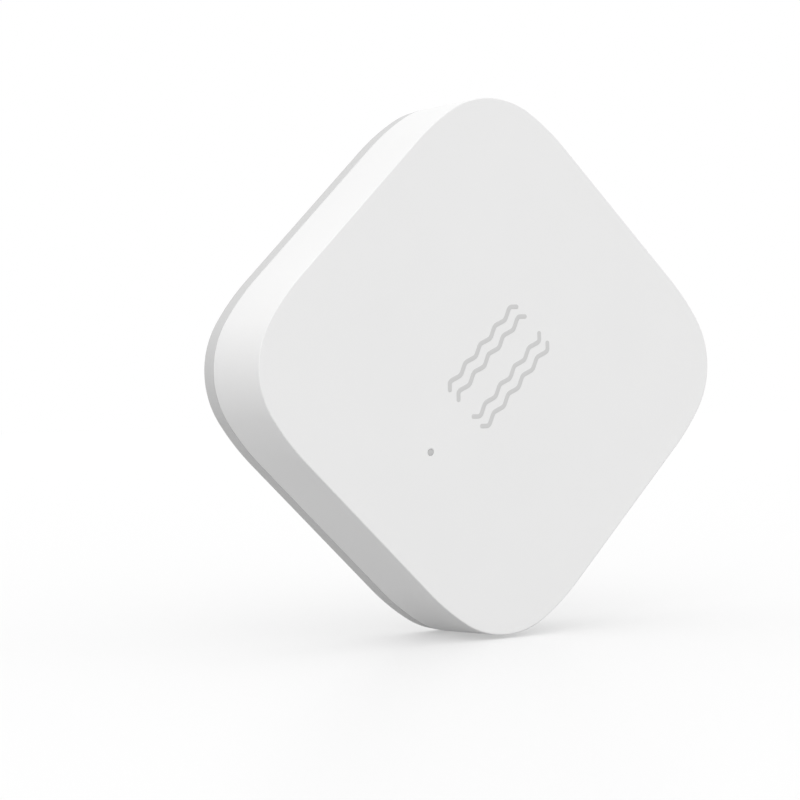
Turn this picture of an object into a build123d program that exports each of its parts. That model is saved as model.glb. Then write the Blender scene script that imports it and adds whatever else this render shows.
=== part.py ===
from build123d import *
import os
from math import asin, atan2, cos, degrees, radians, sin, sqrt

# Vibration sensor tag, in millimetres.
# The tag is modelled square, as it lies on a bench: X to its right, Y to its top, Z towards its
# front, with Z = 0 on the outer face of the adhesive pad. The last function turns it upright and
# on one corner, so that in the finished part Z is up and the front looks along -Y.

# Outline of the front face: straight sides, a wide arc at each end of a side, a tighter arc
# round each corner. Every other outline of the two shells is this one moved in or out.
face_half = 24.6
side_arc_radius = 27.3
side_arc_angle = 12.5
corner_radius = 9.9

# Shells
wall_thickness = 1.5
face_thickness = 1.5
foot_flare = 0.4
face_edge_radius = 0.15
parting_gap = 0.05
band_height = 2.5
band_taper = 0.05
band_edge_radius = 0.2
floor_thickness = 1.5
tongue_height = 1.4
tongue_thickness = 1.3
tongue_clearance = 0.1
pry_notch_width = 9.0
pry_notch_height = 1.2
pry_notch_depth = 1.0

# Adhesive pad, let into the rear face
pad_thickness = 1.4
pad_recess = 0.3
pad_inset = 5.0
pad_clearance = 0.05

# Wave mark: upright wavy strokes with slanting tails, set flush into the face
wave_height = 11.5
wave_amplitude = 0.22
wave_count = 4
tail_bend_radius = 0.45
tail_angle = 45.0
tail_length = 0.62
stroke_width = 0.5
stroke_depth = 0.15
inner_stroke_x = 1.7
outer_stroke_x = 3.25

# Indicator: light pipe and the lamp behind it
indicator_y = -13.2
pipe_tip_radius = 0.4
pipe_stem_radius = 0.8
pipe_flange_radius = 1.1
pipe_flange_height = 0.6
pipe_collar_wall = 0.6
pipe_collar_height = 0.8
pipe_clearance = 0.01
lamp_length = 1.6
lamp_width = 0.8
lamp_base_height = 0.25
lamp_lens_length = 1.1
lamp_lens_height = 0.3
lamp_gap = 0.1

# Circuit board
board_thickness = 1.0
board_clearance = 0.4
ledge_width = 3.0
ledge_depth = 1.6
ledge_place = 12.0

# Corner bosses: two take the board screws, two take the guide posts of the base
boss_radius = 2.2
boss_inset = 4.3
web_thickness = 1.0
web_clearance = 0.3
screw_hole_clearance = 0.15
screw_radius = 0.8
screw_length = 3.5
screw_head_radius = 1.5
screw_head_height = 0.8
screw_slot_width = 0.4
screw_slot_depth = 0.4
pilot_clearance = 0.01
pilot_spare_depth = 0.2
socket_reach = 3.0
socket_seat_gap = 0.1
post_radius = 1.15
post_length = 5.0
post_tip_chamfer = 0.3
post_clearance = 0.05
post_spare_depth = 0.6

# Coin cell
cell_radius = 10.0
cell_height = 3.2
can_wall = 0.25
can_height = 2.9
crimp_width = 0.55
seal_width = 0.85
cap_wall = 0.25
cap_skirt_height = 2.6
cathode_clearance = 0.25
cathode_height = 1.1
separator_clearance = 0.1
separator_height = 0.15
anode_clearance = 0.35
cell_room = 1.6
contact_room = 0.7

# Battery holder and contacts
holder_clearance = 0.25
holder_wall = 1.35
holder_height = 3.2
holder_web_height = 0.65
holder_web_radius = 8.0
thumb_notch_width = 6.0
latch_angle = 38.0
latch_width = 2.4
latch_overlap = 0.55
latch_height = 0.5
contact_thickness = 0.25
contact_width = 6.0
contact_finger_length = 6.5
contact_foot_length = 1.5
contact_gap = 0.05
spring_thickness = 0.2
spring_width = 3.0
spring_foot_length = 6.0
spring_rise_length = 4.0
spring_tip_length = 1.5

# Foam pad that keeps the cell from rattling
foam_radius = 7.5
foam_clearance = 0.3
foam_ring_wall = 1.0
foam_ring_height = 0.6
foam_ring_clearance = 0.3
rib_thickness = 0.8
rib_height = 0.6
rib_end_gap = 3.0

# Radio board, its shield can, chip, crystal and printed aerial
radio_board_thickness = 0.8
radio_chip_size = 5.0
radio_chip_height = 0.85
radio_chip_gap = 1.0
radio_crystal_length = 2.0
radio_crystal_width = 1.6
radio_crystal_height = 0.5
radio_crystal_gap = 1.6
radio_crystal_end_gap = 0.6
shield_height = 1.8
shield_wall = 0.2
shield_side_room = 2.1
shield_end_gap = 0.6
shield_side_gap = 1.2
shield_clearance = 0.6
aerial_gap = 1.8
aerial_width = 0.5
aerial_thickness = 0.1
aerial_height = 3.6
aerial_leg_count = 7
aerial_end_gap = 0.8
radio_place_shares = (-0.62, 0.03)

# Chips and passives on the main board
accelerometer_size = 3.0
accelerometer_height = 1.0
accelerometer_place_shares = (0.05, 0.22)
clock_crystal_length = 3.2
clock_crystal_width = 1.5
clock_crystal_height = 0.75
clock_crystal_place_shares = (0.13, -0.2)
memory_length = 4.9
memory_width = 3.9
memory_height = 1.4
memory_lead_count = 4
memory_place_shares = (0.5, 0.27)
regulator_length = 2.9
regulator_width = 1.4
regulator_height = 1.1
regulator_lead_count = 2
regulator_place_shares = (0.6, -0.12)
lead_width = 0.4
lead_length = 0.9
lead_thickness = 0.2
reservoir_length = 3.5
reservoir_width = 2.8
reservoir_height = 1.9
reservoir_place_shares = (0.45, -0.45)
capacitor_length = 1.6
capacitor_width = 0.8
capacitor_height = 0.8
capacitor_count = 6
capacitor_place_shares = (0.05, 0.5)
resistor_height = 0.45
resistor_count = 6
resistor_place_shares = (0.05, 0.62)
end_cap_length = 0.3
end_cap_step = 0.03
passive_gap = 1.0
test_pad_radius = 0.75
test_pad_thickness = 0.1
test_pad_pitch = 2.4
test_pad_count = 5
test_pad_place_shares = (0.0, -0.7)

# Side switch and the reset button over it
switch_width = 4.6
switch_length = 3.3
switch_body_height = 1.65
switch_cover_thickness = 0.15
switch_wall = 0.6
switch_floor = 0.3
switch_chamber_width = 3.0
switch_chamber_length = 1.8
plunger_width = 1.6
plunger_height = 0.9
plunger_head_width = 2.6
plunger_head_length = 0.5
plunger_reach = 0.48
plunger_clearance = 0.06
dome_radius = 0.6
dome_top_radius = 0.25
dome_height = 0.5
cover_leg_width = 1.0
button_length = 5.1
button_height = 2.1
button_clearance = 0.08
button_stand_out = 0.2
button_edge_radius = 0.15
button_flange_length = 6.7
button_flange_height = 3.0
button_flange_thickness = 0.5
button_travel = 0.3
board_notch_clearance = 0.4

# One overrun for every cut that runs past a face
overrun = 1.0

# Levels, worked out from the rear face to the front
base_rear_z = pad_thickness - pad_recess
floor_z = base_rear_z + floor_thickness
parting_z = base_rear_z + band_height
tongue_top_z = parting_z + tongue_height
shell_foot_z = parting_z + parting_gap
can_face_z = floor_z + cell_room
cap_face_z = can_face_z + cell_height
board_rear_z = cap_face_z + contact_room
board_front_z = board_rear_z + board_thickness
radio_top_z = board_front_z + radio_board_thickness
ceiling_z = radio_top_z + shield_height + shield_clearance
face_z = ceiling_z + face_thickness
shell_depth = face_z - shell_foot_z
socket_end_z = board_rear_z - socket_reach
lamp_top_z = board_front_z + lamp_base_height + lamp_lens_height

# Centres of the outline's arcs
side_arc_centre = face_half - side_arc_radius
corner_centre = side_arc_centre + (side_arc_radius - corner_radius) * cos(radians(side_arc_angle))
side_end = corner_centre - (side_arc_radius - corner_radius) * sin(radians(side_arc_angle))

UPWARD = (Align.CENTER, Align.CENTER, Align.MIN)


def shell_offset(z):
    """How far the shell's outer wall stands outside the face outline at a level."""
    return foot_flare * (face_z - z) / shell_depth


def cavity_offset(z):
    """The same for the inner wall, which keeps the wall thickness."""
    return shell_offset(z) - wall_thickness


tongue_offset = cavity_offset(tongue_top_z) - tongue_clearance
board_offset = cavity_offset(board_front_z) - board_clearance
board_half = face_half + board_offset
boss_reach = corner_centre * sqrt(2) + corner_radius + cavity_offset(tongue_top_z) - boss_inset
boss_place = boss_reach / sqrt(2)
screw_places = [(-boss_place, boss_place), (boss_place, -boss_place)]
post_places = [(boss_place, boss_place), (-boss_place, -boss_place)]
cap_radius = cell_radius - can_wall - seal_width
cap_inner_radius = cap_radius - cap_wall
holder_inner_radius = cell_radius + holder_clearance
holder_outer_radius = holder_inner_radius + holder_wall

# The button's window is level with the switch plunger, in the tag's top side
switch_top_z = board_front_z + switch_body_height + switch_cover_thickness
button_z = (board_front_z + switch_top_z) / 2
flange_outer_y = face_half + cavity_offset(button_z + button_flange_height / 2) - button_clearance
flange_inner_y = flange_outer_y - button_flange_thickness
button_outer_y = face_half + shell_offset(button_z) + button_stand_out
plunger_tip_y = flange_inner_y - contact_gap
switch_front_y = plunger_tip_y - plunger_reach
switch_rear_y = switch_front_y - switch_length
chamber_front_y = switch_front_y - switch_wall
chamber_rear_y = chamber_front_y - switch_chamber_length
board_notch_y = flange_inner_y - button_travel - board_notch_clearance


def quarter_turned(point, turns):
    """A point of the plan turned about the centre by quarter turns."""
    x, y = point
    for _ in range(turns):
        x, y = -y, x
    return (x, y)


def outline(offset, z):
    """The tag's outline, moved outward by an offset, as a closed wire at a level."""
    side = face_half + offset
    wide = side_arc_radius + offset
    tight = corner_radius + offset
    edges = []
    for turns in range(4):
        first = quarter_turned((side_arc_centre, side_end), turns)
        middle = quarter_turned((corner_centre, corner_centre), turns)
        last = quarter_turned((side_end, side_arc_centre), turns)
        start = 90 * turns
        edges.append(CenterArc(first, wide, start, side_arc_angle))
        edges.append(CenterArc(middle, tight, start + side_arc_angle, 90 - 2 * side_arc_angle))
        edges.append(CenterArc(last, wide, start + 90 - side_arc_angle, side_arc_angle))
        line_start = quarter_turned((side_end, side), turns)
        line_end = quarter_turned((-side_end, side), turns)
        edges.append(Line(line_start, line_end))
    return Pos(0, 0, z) * Wire(edges)


def slab(offset, z_low, z_high):
    """A straight-sided slab with the tag's outline."""
    return extrude(Face(outline(offset, z_low)), z_high - z_low, dir=(0, 0, 1))


def tapered_slab(offset_low, z_low, offset_high, z_high):
    """A slab with the tag's outline whose walls lean."""
    return loft([Face(outline(offset_low, z_low)), Face(outline(offset_high, z_high))], ruled=True)


def disc(radius, z_low, z_high, place=(0, 0)):
    """An upright cylinder between two levels."""
    return Pos(place[0], place[1], z_low) * Cylinder(radius, z_high - z_low, align=UPWARD)


def block(width, length, z_low, z_high, place=(0, 0)):
    """An upright box between two levels, centred on a place."""
    return Pos(place[0], place[1], z_low) * Box(width, length, z_high - z_low, align=UPWARD)


def block_between(x_low, x_high, y_low, y_high, z_low, z_high):
    """A box given by its six sides."""
    place = ((x_low + x_high) / 2, (y_low + y_high) / 2)
    return block(x_high - x_low, y_high - y_low, z_low, z_high, place)


def along_y(sketch, y_low, y_high, z):
    """A flat shape, wide along X and tall along Z, carried along Y at a level."""
    plane = Plane(origin=(0, y_low, z), x_dir=(1, 0, 0), z_dir=(0, 1, 0))
    return extrude(plane * sketch, y_high - y_low, dir=(0, 1, 0))


def on_board(place_shares):
    """A place on the board, from shares of its half width."""
    return (place_shares[0] * board_half, place_shares[1] * board_half)


def wave_tail(centre_x, lean, end):
    """The edges of one tail: a tight bend away from the last crest, a straight run, a round tip.

    lean is 1 or -1, the side it slants to, and end is 1 at the top and -1 at the bottom.
    """
    half_width = stroke_width / 2
    run = (lean * sin(radians(tail_angle)), end * cos(radians(tail_angle)))
    middle_x = centre_x + lean * (tail_bend_radius - wave_amplitude)
    middle_y = end * wave_height / 2
    start = 180 if lean > 0 else 0
    sweep = -lean * end * tail_angle
    bend_end = radians(start + sweep)
    edges = []
    for radius in (tail_bend_radius - half_width, tail_bend_radius + half_width):
        x = middle_x + radius * cos(bend_end)
        y = middle_y + radius * sin(bend_end)
        edges.append(CenterArc((middle_x, middle_y), radius, start, sweep))
        edges.append(Line((x, y), (x + tail_length * run[0], y + tail_length * run[1])))
    tip_x = middle_x + tail_bend_radius * cos(bend_end) + tail_length * run[0]
    tip_y = middle_y + tail_bend_radius * sin(bend_end) + tail_length * run[1]
    edges.append(CenterArc((tip_x, tip_y), half_width, degrees(atan2(run[1], run[0])) - 90, 180))
    return edges


def wave_face(centre_x, lean):
    """One wavy stroke as a flat face: arcs that bulge left and right in turn, and two tails.

    Each half wave is one arc whose rise above its chord is the amplitude, so arcs meet
    smoothly where they cross the stroke's axis. lean is 1 or -1, the side of both tails.
    """
    half_wave = wave_height / (2 * wave_count)
    radius = (half_wave**2 / 4 + wave_amplitude**2) / (2 * wave_amplitude)
    reach = degrees(asin(half_wave / 2 / radius))
    half_width = stroke_width / 2
    last = 2 * wave_count
    edges = wave_tail(centre_x, lean, 1) + wave_tail(centre_x, lean, -1)
    for crest in range(last + 1):
        bulge = lean if crest % 2 else -lean
        middle = (centre_x + bulge * (wave_amplitude - radius), crest * half_wave - wave_height / 2)
        low = 0 if crest == 0 else -reach
        high = 0 if crest == last else reach
        start = low if bulge > 0 else 180 - high
        for arc_radius in (radius - half_width, radius + half_width):
            edges.append(CenterArc(middle, arc_radius, start, high - low))
    return Face(Wire(edges))


def mark_strokes():
    """The four strokes of the wave mark, left pair and right pair mirrored."""
    strokes = []
    for side in (-1, 1):
        for distance in (inner_stroke_x, outer_stroke_x):
            face = Pos(0, 0, face_z - stroke_depth) * wave_face(side * distance, -side)
            strokes.append(extrude(face, stroke_depth, dir=(0, 0, 1)))
    return strokes


def front_cover():
    """White front shell with its bosses, ledges, window, light hole and mark recesses."""
    shell = tapered_slab(foot_flare, shell_foot_z, 0, face_z)
    shell = fillet(shell.faces().sort_by(Axis.Z)[-1].edges(), face_edge_radius)
    shell -= tapered_slab(cavity_offset(shell_foot_z), shell_foot_z, cavity_offset(ceiling_z), ceiling_z)
    for side in range(4):
        for along in (-ledge_place, ledge_place):
            inner = face_half + cavity_offset(board_front_z)
            bed = wall_thickness / 2
            place_x = inner + bed / 2 - ledge_depth / 2
            ledge = block(ledge_depth + bed, ledge_width, board_front_z, ceiling_z, (place_x, along))
            shell += Rot(0, 0, 90 * side) * ledge
    web_length = boss_inset + wall_thickness / 2
    for turn, low in ((135, board_front_z), (-45, board_front_z), (45, socket_end_z), (-135, socket_end_z)):
        web_low = max(low, tongue_top_z + web_clearance)
        web = block(web_length, web_thickness, web_low, ceiling_z, (boss_reach + web_length / 2, 0))
        shell += Rot(0, 0, turn) * (web + disc(boss_radius, low, ceiling_z, (boss_reach, 0)))
    for place in screw_places:
        depth = screw_length - board_thickness + pilot_spare_depth
        shell -= disc(screw_radius + pilot_clearance, board_front_z - overrun, board_front_z + depth, place)
    for place in post_places:
        top = socket_end_z + post_length + post_spare_depth
        shell -= disc(post_radius + post_clearance, socket_end_z - overrun, top, place)
    collar_radius = pipe_flange_radius + pipe_collar_wall
    shell += disc(collar_radius, ceiling_z - pipe_collar_height, ceiling_z, (0, indicator_y))
    flange_bore = pipe_flange_radius + pipe_clearance
    shell -= disc(flange_bore, ceiling_z - pipe_collar_height - overrun, ceiling_z, (0, indicator_y))
    shell -= disc(pipe_tip_radius + pipe_clearance, ceiling_z - overrun, face_z + overrun, (0, indicator_y))
    window = SlotOverall(button_length + 2 * button_clearance, button_height + 2 * button_clearance)
    shell -= along_y(window, flange_inner_y, button_outer_y + overrun, button_z)
    for stroke in mark_strokes():
        shell -= stroke
    return shell


def rear_cover():
    """Base tray: outer band, tongue, guide posts, foam ring, ribs, pry notch, pad recess."""
    tray = tapered_slab(foot_flare - band_taper, base_rear_z, foot_flare, parting_z)
    tray = fillet(tray.faces().sort_by(Axis.Z)[0].edges(), band_edge_radius)
    tray += slab(tongue_offset, floor_z, tongue_top_z)
    tray -= slab(tongue_offset - tongue_thickness, floor_z, tongue_top_z + overrun)
    for place in post_places:
        pin = disc(post_radius, floor_z, socket_end_z + post_length, place)
        pin = chamfer(pin.faces().sort_by(Axis.Z)[-1].edges(), post_tip_chamfer)
        tray += disc(boss_radius, floor_z, socket_end_z - socket_seat_gap, place) + pin
    ring_inner = foam_radius + foam_ring_clearance
    ring_outer = ring_inner + foam_ring_wall
    tray += disc(ring_outer, floor_z, floor_z + foam_ring_height) - disc(
        ring_inner, floor_z, floor_z + foam_ring_height
    )
    rib_end = face_half + tongue_offset - tongue_thickness - rib_end_gap
    for side in range(4):
        middle = (ring_outer + rib_end - foam_ring_wall / 2) / 2
        length = rib_end - ring_outer + foam_ring_wall / 2
        rib = block(length, rib_thickness, floor_z, floor_z + rib_height, (middle, 0))
        tray += Rot(0, 0, 90 * side) * rib
    notch_x = face_half + foot_flare
    tray -= block_between(
        notch_x - pry_notch_depth,
        notch_x + overrun,
        -pry_notch_width / 2,
        pry_notch_width / 2,
        parting_z - pry_notch_height,
        parting_z,
    )
    tray -= slab(-pad_inset, base_rear_z - overrun, base_rear_z + pad_recess)
    return tray


def adhesive_pad():
    """Foam tape that sticks the base to a door, window or wall."""
    return slab(-pad_inset - pad_clearance, 0, pad_thickness)


def battery_pad():
    """Round foam pad on the base's floor, just short of the cell's contact finger."""
    top = can_face_z - contact_thickness - foam_clearance
    return disc(foam_radius, floor_z, top)


def light_pipe():
    """Clear stepped pin that carries the lamp's light to the face."""
    flange_low = ceiling_z - pipe_flange_height
    pipe = disc(pipe_tip_radius, ceiling_z, face_z, (0, indicator_y))
    pipe += disc(pipe_flange_radius, flange_low, ceiling_z, (0, indicator_y))
    pipe += disc(pipe_stem_radius, lamp_top_z + lamp_gap, flange_low, (0, indicator_y))
    return pipe


def status_lamp():
    """Small surface-mounted lamp: a base with a lens on it."""
    base_top = board_front_z + lamp_base_height
    lamp = block(lamp_length, lamp_width, board_front_z, base_top, (0, indicator_y))
    return lamp + block(lamp_lens_length, lamp_width, base_top, lamp_top_z, (0, indicator_y))


def circuit_board():
    """Main board with screw holes, corner openings for the sockets and a notch for the button."""
    board = slab(board_offset, board_rear_z, board_front_z)
    for place in screw_places:
        board -= disc(screw_radius + screw_hole_clearance, board_rear_z, board_front_z, place)
    opening_width = web_thickness + 2 * web_clearance
    for turn in (45, -135):
        opening = disc(boss_radius + web_clearance, board_rear_z, board_front_z, (boss_reach, 0))
        slot_length = boss_inset + boss_radius
        slot_place = (boss_reach + slot_length / 2, 0)
        opening += block(slot_length, opening_width, board_rear_z, board_front_z, slot_place)
        board -= Rot(0, 0, turn) * opening
    notch_half = button_flange_length / 2 + board_notch_clearance
    notch_top = board_half + overrun
    board -= block_between(-notch_half, notch_half, board_notch_y, notch_top, board_rear_z, board_front_z)
    return board


def board_screws():
    """Two pan-head screws with a cross in the head, driven from the rear."""
    screws = []
    head_low = board_rear_z - screw_head_height
    slot_top = head_low + screw_slot_depth
    for place in screw_places:
        screw = disc(screw_head_radius, head_low, board_rear_z, place)
        screw += disc(screw_radius, board_rear_z, board_rear_z + screw_length, place)
        slot_length = 2 * screw_radius
        screw -= block(slot_length, screw_slot_width, head_low, slot_top, place)
        screw -= block(screw_slot_width, slot_length, head_low, slot_top, place)
        screws.append(screw)
    return Compound(screws)


def test_pads():
    """Round plated pads on the rear of the board, in a row."""
    middle_x, y = on_board(test_pad_place_shares)
    pads = []
    for index in range(test_pad_count):
        x = middle_x + (index - (test_pad_count - 1) / 2) * test_pad_pitch
        pads.append(disc(test_pad_radius, board_rear_z - test_pad_thickness, board_rear_z, (x, y)))
    return Compound(pads)


# The shield holds the chip and the crystal end to end, and the radio board holds shield and aerial
shield_width = radio_chip_size + 2 * (shield_side_room + shield_wall)
shield_room = radio_chip_gap + radio_chip_size + radio_crystal_gap + radio_crystal_width
shield_length = shield_room + radio_crystal_end_gap + 2 * shield_wall
radio_board_width = shield_width + 2 * shield_side_gap
radio_board_length = shield_end_gap + shield_length + aerial_gap + aerial_height + aerial_end_gap
radio_place = on_board(radio_place_shares)
radio_low_y = radio_place[1] - radio_board_length / 2
radio_high_y = radio_place[1] + radio_board_length / 2
shield_place = (radio_place[0], radio_low_y + shield_end_gap + shield_length / 2)


def radio_board():
    """Daughter board that carries the radio."""
    return block(radio_board_width, radio_board_length, board_front_z, radio_top_z, radio_place)


def radio_shield():
    """Thin steel can over the radio chip."""
    top = radio_top_z + shield_height
    can = block(shield_width, shield_length, radio_top_z, top, shield_place)
    inner_width = shield_width - 2 * shield_wall
    inner_length = shield_length - 2 * shield_wall
    return can - block(inner_width, inner_length, radio_top_z, top - shield_wall, shield_place)


def radio_chip():
    """Radio and processor chip under the shield."""
    y = shield_place[1] - shield_length / 2 + shield_wall + radio_chip_size / 2 + radio_chip_gap
    top = radio_top_z + radio_chip_height
    return block(radio_chip_size, radio_chip_size, radio_top_z, top, (shield_place[0], y))


def radio_crystal():
    """Timing crystal of the radio, beside its chip under the shield."""
    inner_end = shield_place[1] + shield_length / 2 - shield_wall
    y = inner_end - radio_crystal_end_gap - radio_crystal_width / 2
    top = radio_top_z + radio_crystal_height
    return block(radio_crystal_length, radio_crystal_width, radio_top_z, top, (shield_place[0], y))


def radio_aerial():
    """Printed aerial: upright legs joined in turn at the top and at the bottom."""
    top = radio_top_z + aerial_thickness
    high_y = radio_high_y - aerial_end_gap
    low_y = high_y - aerial_height
    first_x = radio_place[0] - radio_board_width / 2 + aerial_end_gap + aerial_width / 2
    pitch = (radio_board_width - 2 * aerial_end_gap - aerial_width) / (aerial_leg_count - 1)
    half = aerial_width / 2
    aerial = block_between(first_x - half, first_x + half, low_y, high_y, radio_top_z, top)
    for leg in range(1, aerial_leg_count):
        x = first_x + leg * pitch
        aerial += block_between(x - half, x + half, low_y, high_y, radio_top_z, top)
        bar_y = high_y - half if leg % 2 else low_y + half
        aerial += block_between(x - pitch, x, bar_y - half, bar_y + half, radio_top_z, top)
    return aerial


def leaded_chip(length, width, height, lead_count, place):
    """A moulded chip with a row of flat leads along both long sides."""
    x, y = place
    chip = block(length, width, board_front_z, board_front_z + height, place)
    pitch = length / lead_count
    for index in range(lead_count):
        lead_x = x + (index - (lead_count - 1) / 2) * pitch
        span = width + 2 * lead_length
        chip += block(lead_width, span, board_front_z, board_front_z + lead_thickness, (lead_x, y))
    return chip


def end_capped(height, place):
    """A chip resistor or capacitor: a body with a slightly thicker cap at each end."""
    x, y = place
    top = board_front_z + height
    piece = block(capacitor_length, capacitor_width, board_front_z, top, place)
    for side in (-1, 1):
        cap_x = x + side * (capacitor_length - end_cap_length) / 2
        cap_width = capacitor_width + 2 * end_cap_step
        piece += block(end_cap_length, cap_width, board_front_z, top + end_cap_step, (cap_x, y))
    return piece


def passive_row(count, height, place_shares):
    """A row of equal chip parts along X."""
    middle_x, y = on_board(place_shares)
    pitch = capacitor_length + passive_gap
    places = [(middle_x + (index - (count - 1) / 2) * pitch, y) for index in range(count)]
    return Compound([end_capped(height, place) for place in places])


def plain_chip(length, width, height, place_shares):
    """A chip or component that is a plain moulded block."""
    return block(length, width, board_front_z, board_front_z + height, on_board(place_shares))


def switch_body():
    """Moulded body of the side switch: open on top and in front."""
    top = board_front_z + switch_body_height
    middle_y = (switch_front_y + switch_rear_y) / 2
    body = block(switch_width, switch_length, board_front_z, top, (0, middle_y))
    chamber_low = board_front_z + switch_floor
    chamber_half = switch_chamber_width / 2
    body -= block_between(
        -chamber_half, chamber_half, chamber_rear_y, chamber_front_y, chamber_low, top
    )
    channel_half = plunger_width / 2 + plunger_clearance
    channel_low = button_z - plunger_height / 2 - plunger_clearance
    body -= block_between(-channel_half, channel_half, chamber_front_y, switch_front_y, channel_low, top)
    return body


def switch_cover():
    """Thin steel cover of the switch, with a leg down each side."""
    low = board_front_z + switch_body_height
    middle_y = (switch_front_y + switch_rear_y) / 2
    width = switch_width + 2 * switch_cover_thickness
    cover = block(width, switch_length, low, switch_top_z, (0, middle_y))
    for side in (-1, 1):
        x = side * (switch_width + switch_cover_thickness) / 2
        cover += block(switch_cover_thickness, cover_leg_width, board_front_z, low, (x, middle_y))
    return cover


def switch_plunger():
    """Plunger with a wider head that keeps it in the switch."""
    head_front = chamber_front_y - plunger_clearance
    head_rear = head_front - plunger_head_length
    low = button_z - plunger_height / 2
    high = button_z + plunger_height / 2
    half = plunger_width / 2
    head_half = plunger_head_width / 2
    plunger = block_between(-half, half, head_rear, plunger_tip_y, low, high)
    return plunger + block_between(-head_half, head_half, head_rear, head_front, low, high)


def switch_dome():
    """Snap dome standing at the back of the switch's chamber."""
    dome = Cone(dome_radius, dome_top_radius, dome_height, align=UPWARD)
    plane = Plane(origin=(0, chamber_rear_y, button_z), x_dir=(1, 0, 0), z_dir=(0, 1, 0))
    return plane * dome


def reset_button():
    """Reset and pairing button: a rounded cap in the wall's window, a flange behind the wall."""
    cap = along_y(SlotOverall(button_length, button_height), flange_inner_y, button_outer_y, button_z)
    cap = fillet(cap.faces().sort_by(Axis.Y)[-1].edges(), button_edge_radius)
    flange_half = button_flange_length / 2
    low = button_z - button_flange_height / 2
    high = button_z + button_flange_height / 2
    return cap + block_between(-flange_half, flange_half, flange_inner_y, flange_outer_y, low, high)


def battery_holder():
    """Round plastic holder with a thumb notch and two latches over the cell's edge."""
    low = board_rear_z - holder_height
    holder = disc(holder_outer_radius, low, board_rear_z)
    latch_face = can_face_z - latch_height
    for turn in (-latch_angle, latch_angle):
        outer = holder_inner_radius + holder_wall / 2
        inner = cell_radius - latch_overlap
        latch = block(latch_width, outer - inner, latch_face, low, (0, -(outer + inner) / 2))
        holder += Rot(0, 0, turn) * latch
    holder -= disc(holder_inner_radius, can_face_z, board_rear_z - holder_web_height)
    holder -= disc(holder_web_radius, low, board_rear_z)
    notch_half = thumb_notch_width / 2
    notch_top = board_rear_z - holder_web_height
    holder -= block_between(
        -notch_half, notch_half, -holder_outer_radius - overrun, -holder_web_radius, low, notch_top
    )
    return holder


def positive_contact():
    """Bent steel strip: a foot on the board, a leg outside the holder, a finger on the can."""
    leg_inner = holder_outer_radius + contact_gap
    leg_outer = leg_inner + contact_thickness
    half = contact_width / 2
    finger_low = can_face_z - contact_thickness
    foot_low = board_rear_z - contact_thickness
    finger_end = holder_outer_radius - contact_finger_length
    strip = block_between(-half, half, leg_inner, leg_outer, finger_low, board_rear_z)
    strip += block_between(-half, half, finger_end, leg_outer, finger_low, can_face_z)
    return strip + block_between(
        -half, half, leg_inner, leg_outer + contact_foot_length, foot_low, board_rear_z
    )


def negative_contact():
    """Bent spring strip on the board: a flat foot, a rise and a tip against the cell's cap."""
    foot_end = -spring_foot_length
    tip_start = spring_rise_length
    tip_end = spring_rise_length + spring_tip_length
    foot_low = board_rear_z - spring_thickness
    tip_high = cap_face_z + spring_thickness
    points = [
        (foot_end, board_rear_z),
        (0, board_rear_z),
        (tip_start, tip_high),
        (tip_end, tip_high),
        (tip_end, cap_face_z),
        (tip_start, cap_face_z),
        (0, foot_low),
        (foot_end, foot_low),
    ]
    side = make_face(Polyline(*points, close=True))
    plane = Plane(origin=(0, spring_width / 2, 0), x_dir=(1, 0, 0), z_dir=(0, -1, 0))
    return extrude(plane * side, spring_width, dir=(0, -1, 0))


def ring_solid(profile):
    """A closed profile of radius and height points, turned into a ring about the Z axis."""
    plane = Plane(origin=(0, 0, can_face_z), x_dir=(1, 0, 0), z_dir=(0, -1, 0))
    return revolve(plane * make_face(Polyline(*profile, close=True)), Axis.Z)


def battery_can():
    """Positive can of the cell: flat face, side wall and the crimp over the seal."""
    inner = cell_radius - can_wall
    crimp_inner = inner - crimp_width
    return ring_solid(
        [
            (0, 0),
            (cell_radius, 0),
            (cell_radius, can_height),
            (crimp_inner, can_height),
            (crimp_inner, can_height - can_wall),
            (inner, can_height - can_wall),
            (inner, can_wall),
            (0, can_wall),
        ]
    )


def battery_seal():
    """Plastic ring between the can and the cap."""
    outer = cell_radius - can_wall
    crimp_inner = outer - crimp_width
    return ring_solid(
        [
            (cap_radius, can_wall),
            (outer, can_wall),
            (outer, can_height - can_wall),
            (crimp_inner, can_height - can_wall),
            (crimp_inner, can_height),
            (cap_radius, can_height),
        ]
    )


def battery_cap():
    """Negative cap of the cell: a flat lid with a skirt inside the seal."""
    skirt_low = cell_height - cap_skirt_height
    return ring_solid(
        [
            (0, cell_height),
            (cap_radius, cell_height),
            (cap_radius, skirt_low),
            (cap_inner_radius, skirt_low),
            (cap_inner_radius, cell_height - cap_wall),
            (0, cell_height - cap_wall),
        ]
    )


cathode_low_z = can_face_z + can_wall
cathode_top_z = cathode_low_z + cathode_height
separator_top_z = cathode_top_z + separator_height
anode_top_z = cap_face_z - cap_wall


def vibration_mark():
    """The mark's strokes as inlays."""
    return Compound(mark_strokes())


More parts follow.
